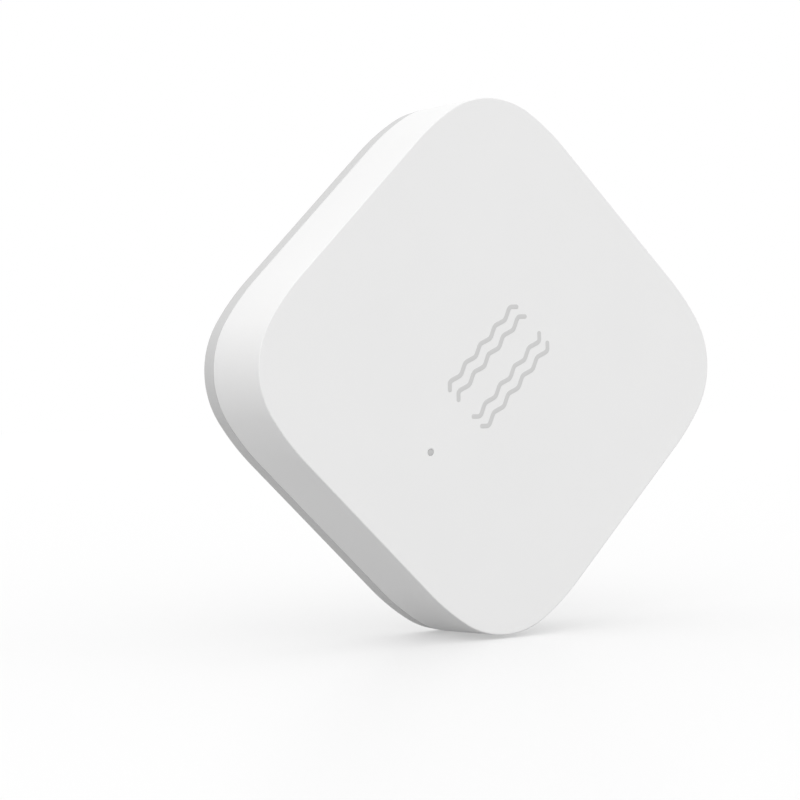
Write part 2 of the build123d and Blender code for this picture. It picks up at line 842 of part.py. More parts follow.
pieces = {
    "rear_cover": rear_cover(),
    "adhesive_pad": adhesive_pad(),
    "battery_pad": battery_pad(),
    "front_cover": front_cover(),
    "vibration_mark": vibration_mark(),
    "light_pipe": light_pipe(),
    "status_lamp": status_lamp(),
    "circuit_board": circuit_board(),
    "board_screws": board_screws(),
    "test_pads": test_pads(),
    "radio_board": radio_board(),
    "radio_shield": radio_shield(),
    "radio_chip": radio_chip(),
    "radio_crystal": radio_crystal(),
    "radio_aerial": radio_aerial(),
    "accelerometer": plain_chip(
        accelerometer_size, accelerometer_size, accelerometer_height, accelerometer_place_shares
    ),
    "clock_crystal": plain_chip(
        clock_crystal_length, clock_crystal_width, clock_crystal_height, clock_crystal_place_shares
    ),
    "memory_chip": leaded_chip(
        memory_length, memory_width, memory_height, memory_lead_count, on_board(memory_place_shares)
    ),
    "voltage_regulator": leaded_chip(
        regulator_length,
        regulator_width,
        regulator_height,
        regulator_lead_count,
        on_board(regulator_place_shares),
    ),
    "reservoir_capacitor": plain_chip(
        reservoir_length, reservoir_width, reservoir_height, reservoir_place_shares
    ),
    "capacitors": passive_row(capacitor_count, capacitor_height, capacitor_place_shares),
    "resistors": passive_row(resistor_count, resistor_height, resistor_place_shares),
    "switch_body": switch_body(),
    "switch_cover": switch_cover(),
    "switch_dome": switch_dome(),
    "switch_plunger": switch_plunger(),
    "reset_button": reset_button(),
    "battery_holder": battery_holder(),
    "positive_contact": positive_contact(),
    "negative_contact": negative_contact(),
    "battery_can": battery_can(),
    "battery_seal": battery_seal(),
    "battery_cap": battery_cap(),
    "battery_cathode": disc(cap_inner_radius - cathode_clearance, cathode_low_z, cathode_top_z),
    "battery_separator": disc(cap_inner_radius - separator_clearance, cathode_top_z, separator_top_z),
    "battery_anode": disc(cap_inner_radius - anode_clearance, separator_top_z, anode_top_z),
}

# Upright on one corner: the tag's own right points down to the right and its top up to the right
hung = Plane(origin=(0, 0, 0), x_dir=(1, 0, -1), z_dir=(0, -1, 0)).location

os.makedirs("parts", exist_ok=True)
for name, piece in pieces.items():
    export_step(hung * piece, f"parts/{name}.step")
    box = (hung * piece).bounding_box()
    print(name, "size", [round(value, 2) for value in box.size])
print("thickness from pad to face", round(face_z, 2), "width", round(2 * (face_half + foot_flare), 2))
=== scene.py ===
# %% [markdown]
# # A vibration sensor tag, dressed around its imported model
# The tag is a small white box that sticks to a door or a window and feels it shake. It stands here
# on one corner, as in a product picture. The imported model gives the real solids, and this file
# gives them the surfaces that the eye sees: the two moulded shells, the grey mark, the indicator,
# the foam tape, and the electronics that show when the shell is pulled off its base.

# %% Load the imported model
from math import cos, pi, radians, sin, sqrt

import bmesh
import bpy
import numpy as np
from mathutils import Matrix, Vector


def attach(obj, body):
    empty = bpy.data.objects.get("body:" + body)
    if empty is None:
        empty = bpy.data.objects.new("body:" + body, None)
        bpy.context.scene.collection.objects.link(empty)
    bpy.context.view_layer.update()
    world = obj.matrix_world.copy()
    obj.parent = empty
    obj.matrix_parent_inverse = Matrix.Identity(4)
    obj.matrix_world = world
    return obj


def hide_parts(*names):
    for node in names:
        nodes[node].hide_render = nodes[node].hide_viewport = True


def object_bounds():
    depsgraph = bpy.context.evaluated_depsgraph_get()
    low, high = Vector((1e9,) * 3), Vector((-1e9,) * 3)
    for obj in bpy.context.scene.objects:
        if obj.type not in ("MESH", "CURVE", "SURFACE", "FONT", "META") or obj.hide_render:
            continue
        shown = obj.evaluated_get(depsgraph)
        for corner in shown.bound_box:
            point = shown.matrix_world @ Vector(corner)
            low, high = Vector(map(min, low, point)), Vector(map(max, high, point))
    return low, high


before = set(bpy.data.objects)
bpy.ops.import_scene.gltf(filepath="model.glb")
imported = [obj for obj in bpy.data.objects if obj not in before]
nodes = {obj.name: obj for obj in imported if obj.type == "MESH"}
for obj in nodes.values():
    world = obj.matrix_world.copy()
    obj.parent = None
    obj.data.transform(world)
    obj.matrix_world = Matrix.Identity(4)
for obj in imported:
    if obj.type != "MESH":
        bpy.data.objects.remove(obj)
cad_low, cad_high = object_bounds()
MM = 0.001
print("packed model", [round(side / MM, 2) for side in cad_high - cad_low], "mm")

# %% [markdown]
# ## The tag's own directions
# Every piece is easiest to describe with the tag lying square on a bench: x to its right, y to its
# top, z out of its front, and z = 0 on the back of the foam tape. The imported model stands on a
# corner with its front towards -Y. One small function turns bench points into that pose, so the
# rest of the file can stay square. The shell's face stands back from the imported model's front by
# the height of the ink film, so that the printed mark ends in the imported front's own plane.


# %% From the bench to the upright pose
def hang(points):
    """Bench points in millimetres to frame points in metres.

    Across = (x + y) / sqrt 2, depth = -z, and up = (y - x) / sqrt 2.
    """
    points = np.asarray(points, float)
    x, y, z = points[..., 0], points[..., 1], points[..., 2]
    return np.stack([(x + y) / sqrt(2), -z, (y - x) / sqrt(2)], axis=-1) * MM


def bench_box(node):
    """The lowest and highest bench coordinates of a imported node's vertices, in millimetres."""
    mesh = nodes[node].data
    flat = np.empty(len(mesh.vertices) * 3)
    mesh.vertices.foreach_get("co", flat)
    across, depth, up = flat.reshape(-1, 3).T / MM
    bench = np.stack([(across - up) / sqrt(2), (across + up) / sqrt(2), -depth])
    return bench.min(axis=1), bench.max(axis=1)


shell_low, shell_high = bench_box("front_cover")
film_height = 0.02
face_level = shell_high[2] - film_height
foot_level = shell_low[2]
base_level = bench_box("rear_cover")[0][2]
tape_level = bench_box("adhesive_pad")[1][2]
print("shell from", round(foot_level, 2), "to", round(face_level, 2), "mm above the tape's back")

# %% [markdown]
# ## Camera
# The camera stands to the left of the tag, almost level with it, and leans a touch to one side.
# Its lens is long, so the tag's sides hardly converge. The place was found by fitting the tag's
# outline to the picture, and is written as an aim point on the face, a distance and three angles.

# %% Make the camera
view_azimuth = radians(-30.95)
view_elevation = radians(-0.22)
view_roll = radians(1.645)
view_distance = 209.5 * MM
view_lens = 86.88
aim_across = -13.1 * MM
aim_up = -3.51 * MM

camera_data = bpy.data.cameras.new("camera")
camera_data.lens = view_lens
camera_data.sensor_width = 36.0
camera_data.clip_start = 10 * MM
camera = bpy.data.objects.new("camera", camera_data)
bpy.context.scene.collection.objects.link(camera)
bpy.context.scene.camera = camera

back_way = Vector(
    (
        sin(view_azimuth) * cos(view_elevation),
        -cos(view_azimuth) * cos(view_elevation),
        sin(view_elevation),
    )
)
level_right = Vector((0, 0, 1)).cross(back_way).normalized()
level_up = back_way.cross(level_right)
camera_up = level_up * cos(view_roll) + level_right * sin(view_roll)
camera_right = level_right * cos(view_roll) - level_up * sin(view_roll)
aim = Vector((aim_across, -face_level * MM, aim_up))
turn = Matrix((camera_right, camera_up, back_way)).transposed()
camera.matrix_world = Matrix.Translation(aim + back_way * view_distance) @ turn.to_4x4()
print("camera at", [round(value / MM, 1) for value in camera.matrix_world.translation], "mm")

# %% [markdown]
# ## Floor, backdrop and light
# The picture has a white background that runs into a white floor, with one soft shadow under the
# tag. The background is the world's colour, seen only by the camera and by mirror-like rays. The
# floor is a matt sheet that gives back the light it gets plus a little of its own, so that it is
# just white where nothing shades it and greys only in the tag's shadow. A faint gloss mirrors the
# tag as a pale blur below it. What the floor throws back on the tag is set apart from what the
# camera sees, because that light alone shapes the lower walls.


# %% Helpers for node trees
def node_tree(owner):
    """The empty node tree of a material or a world, with its output node."""
    owner.use_nodes = True
    tree = owner.node_tree
    tree.nodes.clear()
    kind = "World" if isinstance(owner, bpy.types.World) else "Material"
    return tree, tree.nodes.new(f"ShaderNodeOutput{kind}")


def add(tree, kind, settings=None, **inputs):
    """A new node. Settings are its properties, and inputs are values or sockets to link."""
    node = tree.nodes.new(f"ShaderNode{kind}")
    for key, value in (settings or {}).items():
        setattr(node, key, value)
    for key, value in inputs.items():
        place = int(key[1:]) if key[0] == "i" and key[1:].isdigit() else key.replace("_", " ")
        socket = node.inputs[place]
        if isinstance(value, bpy.types.NodeSocket):
            tree.links.new(value, socket)
        else:
            socket.default_value = value
    return node


def maths(tree, operation, *values):
    """The result of a Math node on numbers or sockets."""
    node = add(tree, "Math", {"operation": operation}, **{f"i{n}": v for n, v in enumerate(values)})
    return node.outputs[0]


def seen_directly(tree):
    """A number that is 1 for camera, glossy and transmission rays and 0 for the rest."""
    path = add(tree, "LightPath")
    first = maths(tree, "MAXIMUM", path.outputs["Is Camera Ray"], path.outputs["Is Glossy Ray"])
    return maths(tree, "MAXIMUM", first, path.outputs["Is Transmission Ray"])


# %% [markdown]
# The light is a pale sky all round, and one very soft lamp from the upper left in front. Such a
# wide lamp has no sharp shadow, it only makes the upper walls lighter than the lower ones. The
# sky that lights the tag and the white that the camera sees are two shaders, chosen by the kind
# of ray.

# %% World and lamp
sky_level = 1.075
side_strength = 0.75
side_softness = radians(60)
side_from = Vector((-0.42, -0.80, 0.42))

world = bpy.data.worlds.new("studio")
bpy.context.scene.world = world
tree, output = node_tree(world)
sky = add(tree, "Background", Color=(1, 1, 1, 1), Strength=sky_level)
white = add(tree, "Background", Color=(1, 1, 1, 1), Strength=1.0)
choice = add(tree, "MixShader", i0=seen_directly(tree), i1=sky.outputs[0], i2=white.outputs[0])
tree.links.new(choice.outputs[0], output.inputs["Surface"])

side_data = bpy.data.lights.new("side_lamp", "SUN")
side_data.energy = side_strength
side_data.angle = side_softness
side_lamp = bpy.data.objects.new("side_lamp", side_data)
side_lamp.rotation_mode = "QUATERNION"
side_lamp.rotation_quaternion = side_from.to_track_quat("Z", "Y")
bpy.context.scene.collection.objects.link(side_lamp)
side_spread = round(side_softness / pi * 180)
print("sky", sky_level, "and a lamp of", side_strength, "spread over", side_spread, "degrees")

# %% [markdown]
# The floor is a round sheet, made of rings of faces that grow with the distance.

# %% Floor
floor_radius = 3.0
floor_spokes = 48
floor_reach_shares = np.array([0.02, 0.08, 0.3, 1.0])
floor_colour = 0.26
floor_bounce = 0.187
floor_share = 0.46
floor_glow = 0.356
floor_gloss = 0.11
floor_roughness = 0.3
floor_height = cad_low.z

spoke = np.linspace(0, 2 * pi, floor_spokes, endpoint=False)
reach = floor_reach_shares[:, None] * floor_radius
floor_level = np.full((len(reach), floor_spokes), floor_height)
floor_rings = np.stack([reach * np.cos(spoke), reach * np.sin(spoke), floor_level], -1)
floor_points = np.vstack([[[0, 0, floor_height]], floor_rings.reshape(-1, 3)])
here = np.arange(floor_spokes)
after = (here + 1) % floor_spokes
centre_faces = np.stack([0 * here, here + 1, after + 1], axis=-1)
band_faces = np.stack([here, here + floor_spokes, after + floor_spokes, after], axis=-1) + 1
ring_faces = [band_faces + ring * floor_spokes for ring in range(len(floor_reach_shares) - 1)]
floor_faces = np.vstack(ring_faces).tolist()
floor_mesh = bpy.data.meshes.new("floor")
floor_mesh.from_pydata(floor_points.tolist(), [], centre_faces.tolist() + floor_faces)
floor = bpy.data.objects.new("floor", floor_mesh)
bpy.context.scene.collection.objects.link(floor)

# %% Finish of the floor
floor_sheet = bpy.data.materials.new("floor_sheet")
tree, output = node_tree(floor_sheet)
lit = add(tree, "BsdfDiffuse", Color=(floor_share, floor_share, floor_share, 1))
glow = add(tree, "Emission", Color=(1, 1, 1, 1), Strength=floor_glow)
unglossed = add(tree, "AddShader", i0=lit.outputs[0], i1=glow.outputs[0])
gloss_colour = (floor_gloss, floor_gloss, floor_gloss, 1)
gloss = add(tree, "BsdfAnisotropic", Color=gloss_colour, Roughness=floor_roughness)
seen = add(tree, "AddShader", i0=unglossed.outputs[0], i1=gloss.outputs[0])
matt = add(tree, "BsdfDiffuse", Color=(floor_colour, floor_colour, floor_colour, 1))
fill = add(tree, "Emission", Color=(1, 1, 1, 1), Strength=floor_bounce)
plain = add(tree, "AddShader", i0=matt.outputs[0], i1=fill.outputs[0])
choice = add(tree, "MixShader", i0=seen_directly(tree), i1=plain.outputs[0], i2=seen.outputs[0])
tree.links.new(choice.outputs[0], output.inputs["Surface"])
floor_mesh.materials.append(floor_sheet)
print("floor", 2 * floor_radius, "m wide at", round(floor_height / MM, 2), "mm")

bpy.context.scene.view_settings.view_transform = "Standard"

# %% [markdown]
# ## The outline of the tag
# The tag isn't a plain rounded square. Each side is straight in the middle, bends very gently
# near its ends, and then turns a tighter corner. Four arcs and lines drawn once give the whole
# family of outlines, because moving such a curve outward only makes its radii bigger: the point
# goes along its own normal. So the outline is kept as two tables, points and normals, and every
# shell is a sweep of some profile along them.


# %% Outline tables
side_arc_radius = 27.3
side_arc_angle = radians(12.5)
corner_radius = 9.9
foot_flare = 0.4
side_points, wide_points, corner_points = 14, 8, 40

corner_reach = cad_high.x / MM - foot_flare - corner_radius
corner_centre = corner_reach / sqrt(2)
side_arc_centre = corner_centre - (side_arc_radius - corner_radius) * cos(side_arc_angle)
side_end = corner_centre - (side_arc_radius - corner_radius) * sin(side_arc_angle)
face_half = side_arc_centre + side_arc_radius


def arc(centre, radius, start, stop, count):
    """Points and outward normals of an arc, the last point left to the next piece.

    Point = centre + radius * (cos a, sin a), and the normal is (cos a, sin a).
    """
    angle = np.linspace(start, stop, count, endpoint=False)
    normal = np.stack([np.cos(angle), np.sin(angle)], axis=-1)
    return np.asarray(centre) + radius * normal, normal


def outline_tables():
    """Points and normals once round the face outline, anticlockwise from the right side."""
    along = np.linspace(-side_end, side_end, side_points, endpoint=False)
    side = np.stack([np.full_like(along, face_half), along], axis=-1)
    pieces = [
        (side, np.tile([1.0, 0.0], (side_points, 1))),
        arc((side_arc_centre, side_end), side_arc_radius, 0, side_arc_angle, wide_points),
        arc(
            (corner_centre, corner_centre),
            corner_radius,
            side_arc_angle,
            pi / 2 - side_arc_angle,
            corner_points,
        ),
        arc(
            (side_end, side_arc_centre),
            side_arc_radius,
            pi / 2 - side_arc_angle,
            pi / 2,
            wide_points,
        ),
    ]
    points = np.vstack([piece[0] for piece in pieces])
    normals = np.vstack([piece[1] for piece in pieces])
    quarter = np.array([[0.0, 1.0], [-1.0, 0.0]])
    turns = [np.linalg.matrix_power(quarter, n) for n in range(4)]
    return np.vstack([points @ t for t in turns]), np.vstack([normals @ t for t in turns])


outline_points, outline_normals = outline_tables()
print("face", round(2 * face_half, 2), "mm wide, outline of", len(outline_points), "points")

# %% [markdown]
# ## Edges
# No moulded or cut edge is truly sharp, and the light that a small round catches is what makes a
# part look real. A profile is written as corners with a radius for each, and one helper puts an
# arc into every corner. Four sizes of edge serve most pieces, from a stamped one to a generous
# round.

# %% Round the corners of a profile
crisp, eased, soft, broad = 0.05, 0.1, 0.15, 0.3


def rounded(corners, radii, steps=6):
    """A profile with each corner replaced by an arc, as points with any number of columns.

    For a corner with half angle h, the arc starts radius / tan h from the corner on both legs.
    Its centre is on the bisector, radius / sin h from the corner.
    """
    corners = np.asarray(corners, float)
    out = [corners[:1]]
    for before, corner, following, radius in zip(corners, corners[1:], corners[2:], radii):
        if radius == 0:
            out.append(corner[None])
            continue
        back = (before - corner) / np.linalg.norm(before - corner)
        ahead = (following - corner) / np.linalg.norm(following - corner)
        half = np.arccos(np.clip(back @ ahead, -1, 1)) / 2
        bisector = (back + ahead) / np.linalg.norm(back + ahead)
        centre = corner + bisector * radius / np.sin(half)
        first = corner + back * radius / np.tan(half) - centre
        last = corner + ahead * radius / np.tan(half) - centre
        sweep = np.arccos(np.clip(first @ last / radius**2, -1, 1))
        t = np.linspace(0, 1, steps + 1)[:, None]
        spokes = np.sin((1 - t) * sweep) * first + np.sin(t * sweep) * last
        out.append(centre + spokes / np.sin(sweep))
    out.append(corners[-1:])
    return np.vstack(out)


bead = rounded([(0, 0), (1, 0), (1, 1)], [broad])
print("one rounded corner is", len(bead) - 2, "points")

# %% [markdown]
# ## From a profile to a surface
# Two moves make nearly every piece. A profile is carried round the tag's outline, or it is turned
# about an upright axis as on a lathe. Both give a grid of points, computed as whole arrays, and a
# grid closes into a skin of four-sided faces.


# %% Sweep and turn
small_columns, disc_columns, ring_columns, cell_columns = 48, 96, 128, 160


def swept(profile, shrink=None):
    """A profile carried round the tag's outline, as a grid of bench points.

    Row = profile point (offset, level), column = outline point. The point is the outline point
    plus offset times its normal, times the row's shrink, so that 0 is the tag's axis.
    """
    profile = np.asarray(profile, float)
    shrink = np.ones(len(profile)) if shrink is None else np.asarray(shrink, float)
    flat = outline_points + profile[:, 0][:, None, None] * outline_normals
    flat = flat * shrink[:, None, None]
    level = np.broadcast_to(profile[:, 1][:, None, None], flat.shape[:2] + (1,))
    return np.concatenate([flat, level], axis=-1)


def turned(profile, place, columns=64, stretch=0.0):
    """A profile (radius, level) turned about an upright axis, as a grid of bench points.

    With a stretch, the circle becomes a slot: half of it moves right and half left.
    """
    profile = np.asarray(profile, float)
    angle = np.linspace(0, 2 * pi, columns, endpoint=False) + pi / columns
    shift = np.sign(np.cos(angle)) * stretch / 2 * (profile[:, 0] > 0)[:, None]
    x = place[0] + profile[:, :1] * np.cos(angle) + shift
    y = place[1] + profile[:, :1] * np.sin(angle)
    return np.stack([x, y, np.broadcast_to(profile[:, 1:2], x.shape)], axis=-1)


print("the foot's sweep is a grid of", swept([(foot_flare, foot_level)]).shape[:2])


# %% Close a grid into a skin
def skin(grid, ring=False):
    """Vertices and faces of a grid that closes on itself sideways, with both ends closed.

    A first or last row that is one point becomes one vertex with a fan of triangles. With ring,
    the last row joins the first instead. Faces are turned to point outwards: the volume that they
    enclose, the sum of a . (b x c) / 6 over their triangles, must be positive.
    """
    rows, columns = grid.shape[:2]
    vertices = grid.reshape(-1, 3)
    row = np.arange(rows if ring else rows - 1)[:, None]
    column = np.arange(columns)[None, :]
    here, there = row * columns, ((row + 1) % rows) * columns
    side = (column + 1) % columns
    quads = np.stack([here + column, here + side, there + side, there + column], -1).reshape(-1, 4)
    a, b, c, d = (vertices[quads[:, n]] for n in range(4))
    volume = np.sum(a * np.cross(b, c)) + np.sum(a * np.cross(c, d))
    return vertices, quads if volume > 0 else quads[:, ::-1]


lathe_test = skin(turned([(0, 0), (1, 0), (1, 1), (0, 1)], (0, 0), 12))
print("a turned disc of 12 columns has", len(lathe_test[1]), "faces")

# %% [markdown]
# A row at a pole is one point repeated, so after the skins are joined into a mesh the doubled
# points are merged, and the faces there become triangles. Edges that turn by more than a set
# angle stay sharp in shading, and the rest is smooth.

# %% Make an object from skins
merge_distance = 1e-5 * MM
sharp_from = radians(35)


def build(name, *skins):
    """A mesh object from skins, with doubled vertices at the poles merged and edges kept crisp."""
    starts = np.cumsum([0] + [len(points) for points, faces in skins])
    vertices = np.vstack([hang(points) for points, faces in skins])
    faces = np.vstack([faces + start for (points, faces), start in zip(skins, starts)])
    mesh = bpy.data.meshes.new(name)
    mesh.from_pydata(vertices.tolist(), [], faces.tolist())
    work = bmesh.new()
    work.from_mesh(mesh)
    bmesh.ops.remove_doubles(work, verts=work.verts, dist=merge_distance)
    work.to_mesh(mesh)
    work.free()
    mesh.set_sharp_from_angle(angle=sharp_from)
    piece = bpy.data.objects.new(name, mesh)
    bpy.context.scene.collection.objects.link(piece)
    return piece


# %% [markdown]
# ## Bars, cuts and joints
# Ribs, ledges and chips are bars with rounded edges. Holes and windows are cut as a tool would cut
# them, by taking the tool's shape away. A rib that grows out of a wall is joined to it, so that no
# surface is left inside the plastic. The exact solver keeps the result closed.


# %% A bar with rounded edges
edge_points = 4


def bar(low, high, edge=0.0):
    """A box between two bench corners with rounded edges, as a skin.

    Each level is a rounded rectangle. Going up by edge * (1 - sin a) at the bottom and the top, it
    draws in by edge * (1 - cos a), so the edge is a quarter circle.
    """
    low, high = np.asarray(low, float), np.asarray(high, float)
    middle, half = (low + high) / 2, (high - low) / 2
    corner = np.linspace(0, pi / 2, edge_points)[None, :] + (np.arange(4) * pi / 2)[:, None]
    signs = np.array([[1, 1], [-1, 1], [-1, -1], [1, -1]])

    def ring(inset, level):
        core = (half[:2] - edge) * signs
        x = core[:, :1] + (edge - inset) * np.cos(corner)
        y = core[:, 1:] + (edge - inset) * np.sin(corner)
        return np.stack([x, y, np.full_like(x, level)], -1).reshape(-1, 3)

    round_up = np.linspace(0, pi / 2, edge_points)
    insets = edge * (1 - np.cos(round_up))
    rises = half[2] - edge * (1 - np.sin(round_up))
    rows = [ring(inset, rise) for inset, rise in zip(insets, rises)]
    under = [row * [1, 1, -1] for row in rows[::-1]]
    tip = np.zeros_like(rows[0])
    grid = np.stack([tip - [0, 0, half[2]]] + under + rows + [tip + [0, 0, half[2]]])
    return skin(grid + middle)


def turned_about_axis(piece_skin, angle):
    """A skin turned about the tag's axis."""
    points, faces = piece_skin
    spin = np.array([[cos(angle), sin(angle), 0], [-sin(angle), cos(angle), 0], [0, 0, 1]])
    return points @ spin, faces


print("a bar with round edges has", len(bar((0, 0, 0), (1, 1, 1), eased)[1]), "faces")


# %% Cut and join
def settle(piece):
    """The piece with its modifiers made part of its mesh."""
    solid = piece.evaluated_get(bpy.context.evaluated_depsgraph_get())
    mesh = bpy.data.meshes.new_from_object(solid)
    piece.modifiers.clear()
    piece.data = mesh
    mesh.name = piece.name
    return piece


def carve(piece, *cutters):
    """The piece less each cutter. The cutters are thrown away."""
    for cutter in cutters:
        cut = piece.modifiers.new("cut", "BOOLEAN")
        cut.operation, cut.solver, cut.object = "DIFFERENCE", "EXACT", cutter
    settle(piece)
    for cutter in cutters:
        bpy.data.objects.remove(cutter)
    piece.data.set_sharp_from_angle(angle=sharp_from)
    return piece


def joined(piece, *others):
    """The piece fused with the others into one closed surface. The others are thrown away."""
    for other in others:
        fuse = piece.modifiers.new("fuse", "BOOLEAN")
        fuse.operation, fuse.solver, fuse.object = "UNION", "EXACT", other
    settle(piece)
    for other in others:
        bpy.data.objects.remove(other)
    piece.data.set_sharp_from_angle(angle=sharp_from)
    return piece


# %% [markdown]
# Every piece rides on a body of the imported model, and stands for the imported solid that it hides.
# One helper says both.


# %% Give a piece its place in the model
def dress(piece, body, slot, *stands_for):
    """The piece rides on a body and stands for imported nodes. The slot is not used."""
    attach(piece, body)
    if stands_for:
        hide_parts(*stands_for)
    print(piece.name, len(piece.data.polygons), "faces on", body)
    return piece


# %% [markdown]
# ## Front shell
# One white moulding: a flat face with a crisp, barely rounded edge, walls that lean out a little
# towards the foot so that the part leaves its mould, and an even wall thickness. A single closed
# profile, face, wall, foot, inner wall, ceiling, is swept round the outline. Rings close to each
# rounded edge keep the flat areas flat in shading. The bosses, ledges and collar inside are short
# mouldings of their own, fused to it.

# %% Sizes of the shell
wall_thickness = 1.5
face_thickness = 1.5
face_edge_radius = 0.15
foot_edge_radius = 0.08
ceiling_edge_radius = 0.4
ceiling_level = shell_high[2] - face_thickness
shell_depth = face_level - foot_level


def wall_offset(level):
    """How far the shell's wall stands outside the face outline at a level."""
    return foot_flare * (face_level - level) / shell_depth


inner_shrinks = [0, 0.25, 0.5, 0.75]
face_ring = -6.0
support = 0.05
print("shell", round(shell_depth, 2), "mm deep, walls", wall_thickness, "mm")

# %% [markdown]
# Flat faces are closed by shrinking one ring towards the axis in a few steps. The base, the board
# and the tape are closed in the same way, so a helper does it. A ring just inside the face's edge
# keeps the flat of the face from picking up the shading of the round.


# %% Close the flats of a swept profile
def swept_plate(rows):
    """A profile carried round the tag's outline, closed to the axis at both ends, as a skin.

    The first and the last row are repeated, each time times one of the shares in inner_shrinks.
    """
    first, last = (np.tile(rows[end], (len(inner_shrinks), 1)) for end in (0, -1))
    shrink = np.concatenate([inner_shrinks, np.ones(len(rows)), inner_shrinks[::-1]])
    return skin(swept(np.vstack([first, rows, last]), shrink))


# %% Sweep the shell
outer = rounded(
    [(face_ring, face_level), (0, face_level), (foot_flare, foot_level)],
    [face_edge_radius],
)
inner = rounded(
    [
        (foot_flare / 2, foot_level),
        (wall_offset(foot_level) - wall_thickness, foot_level),
        (wall_offset(ceiling_level) - wall_thickness, ceiling_level),
        (face_ring, ceiling_level),
    ],
    [foot_edge_radius, ceiling_edge_radius],
)
near_edge = [(-face_edge_radius - support, face_level)]
toe = rounded([outer[-2], (foot_flare, foot_level), (0, foot_level)], [foot_edge_radius])[1:-1]
shell_rows = np.vstack([outer[:1], near_edge, outer[1:-1], toe, inner])
front_shell = build("front_shell", swept_plate(shell_rows))
print("plain shell", len(front_shell.data.polygons), "faces")

# %% [markdown]
# Inside, two corners carry a boss for a board screw and the other two a socket for a guide post.
# Webs tie the bosses to the walls, eight ledges stop the board, and a collar holds the light pipe.
# The bosses and the collar are turned profiles, the webs and ledges are small bars with soft edges.

# %% Sizes of the bosses, ledges and collar
board_low, board_high = bench_box("circuit_board")
screw_low, screw_high = bench_box("board_screws")
pipe_low, pipe_high = bench_box("light_pipe")
screw_head_radius = 1.5
screw_radius = 0.8
boss_place = screw_high[0] - screw_head_radius
boss_radius = 2.2
socket_reach = 3.0
post_radius = 1.15
post_clearance = 0.05
post_length = 5.0
post_spare_depth = 0.6
web_thickness = 1.0
web_clearance = 0.3
tongue_height = 1.4
parting_gap = 0.05
parting_level = foot_level - parting_gap
tongue_level = parting_level + tongue_height
socket_level = board_low[2] - socket_reach
ledge_width = 3.0
ledge_depth = 1.6
ledge_place = 12.0
bedded = 0.4

screw_places = [(-boss_place, boss_place), (boss_place, -boss_place)]
post_places = [(boss_place, boss_place), (-boss_place, -boss_place)]
indicator = (0.0, (pipe_low[1] + pipe_high[1]) / 2)
pipe_flange_radius = (pipe_high[0] - pipe_low[0]) / 2
pipe_tip_radius = 0.37
collar_wall = 0.6
collar_height = 0.8
ceiling_bed = ceiling_level + bedded
print("bosses", round(boss_place, 2), "mm out each way, board", round(board_high[2], 2), "mm up")


# %% A round post
def post(radius, low, high, place, edge=eased, columns=64):
    """A round post between two levels with both edges rounded, as a skin."""
    profile = rounded([(0, low), (radius, low), (radius, high), (0, high)], [edge, edge], steps=4)
    return skin(turned(profile, place, columns))


# %% Mould the ledges
inner_reach = face_half + wall_offset(board_high[2]) - wall_thickness
ledges = [
    turned_about_axis(
        bar(
            (inner_reach - ledge_depth, along - ledge_width / 2, board_high[2]),
            (inner_reach + bedded, along + ledge_width / 2, ceiling_bed),
            soft,
        ),
        side * pi / 2,
    )
    for side in range(4)
    for along in (-ledge_place, ledge_place)
]

# %% Mould the webs and bosses
boss_reach = boss_place * sqrt(2)
outer_corner = corner_centre * sqrt(2) + corner_radius + wall_offset(ceiling_level)
web_end = outer_corner - wall_thickness + bedded
web_half = web_thickness / 2


def corner_bar(half, end, low, high, angle):
    """A bar with soft edges that runs out from a boss towards a corner, as a skin."""
    return turned_about_axis(bar((boss_reach, -half, low), (end, half, high), soft), angle)


webs = [
    corner_bar(web_half, web_end, low, ceiling_bed, angle)
    for angle, low in (
        (radians(135), board_high[2]),
        (radians(-45), board_high[2]),
        (radians(45), tongue_level + web_clearance),
        (radians(-135), tongue_level + web_clearance),
    )
]
bosses = [post(boss_radius, board_high[2], ceiling_bed, place, soft) for place in screw_places]
bosses += [post(boss_radius, socket_level, ceiling_bed, place, soft) for place in post_places]
collar_low = ceiling_level - collar_height
bosses.append(post(pipe_flange_radius + collar_wall, collar_low, ceiling_bed, indicator, soft))
joined(front_shell, build("ledges", *ledges), build("webs", *webs), build("bosses", *bosses))
print(len(ledges), "ledges,", len(webs), "webs and", len(bosses), "bosses")

# %% [markdown]
# The holes come last, as a drill or a core pin would leave them: two pilot holes, two sockets, the
# stepped hole of the light pipe, and the slot in the top wall for the button. The slot's outer edge
# is eased a little.

# %% Sizes of the holes
button_low, button_high = bench_box("reset_button")
button_level = (button_low[2] + button_high[2]) / 2
button_length = 5.1
button_height = 2.1
button_clearance = 0.08
flange_thickness = 0.5
window_flare = 0.25
pilot_depth = 2.7
light_hole_clearance = 0.02
light_hole_ease = 0.08
light_hole_ease_depth = 0.06
past_face = 0.01
overrun = 1.0
print("button", round(button_level, 2), "mm up, in a window", button_length, "mm long")


# %% Drills
def to_top_wall(piece_skin, level):
    """A skin whose axis is z, laid over so that its axis points to the tag's top, at a level."""
    points, faces = piece_skin
    x, y, z = points.T
    return np.stack([x, z, level - y], axis=-1), faces


def slot_cutter():
    """The button's window: a slot that opens out a little at the wall's outer face."""
    radius = button_height / 2 + button_clearance
    outer_face = face_half + wall_offset(button_level)
    profile = [
        (0, button_low[1]),
        (radius, button_low[1]),
        (radius, outer_face - eased),
        (radius + window_flare, outer_face + soft),
        (radius + window_flare, outer_face + overrun),
        (0, outer_face + overrun),
    ]
    window = turned(profile, (0, 0), small_columns, button_length - button_height)
    return to_top_wall(skin(window), button_level)


def bore(radius, low, high, place):
    """A drill for a hole between two levels."""
    return skin(turned([(0, low), (radius, low), (radius, high), (0, high)], place, small_columns))


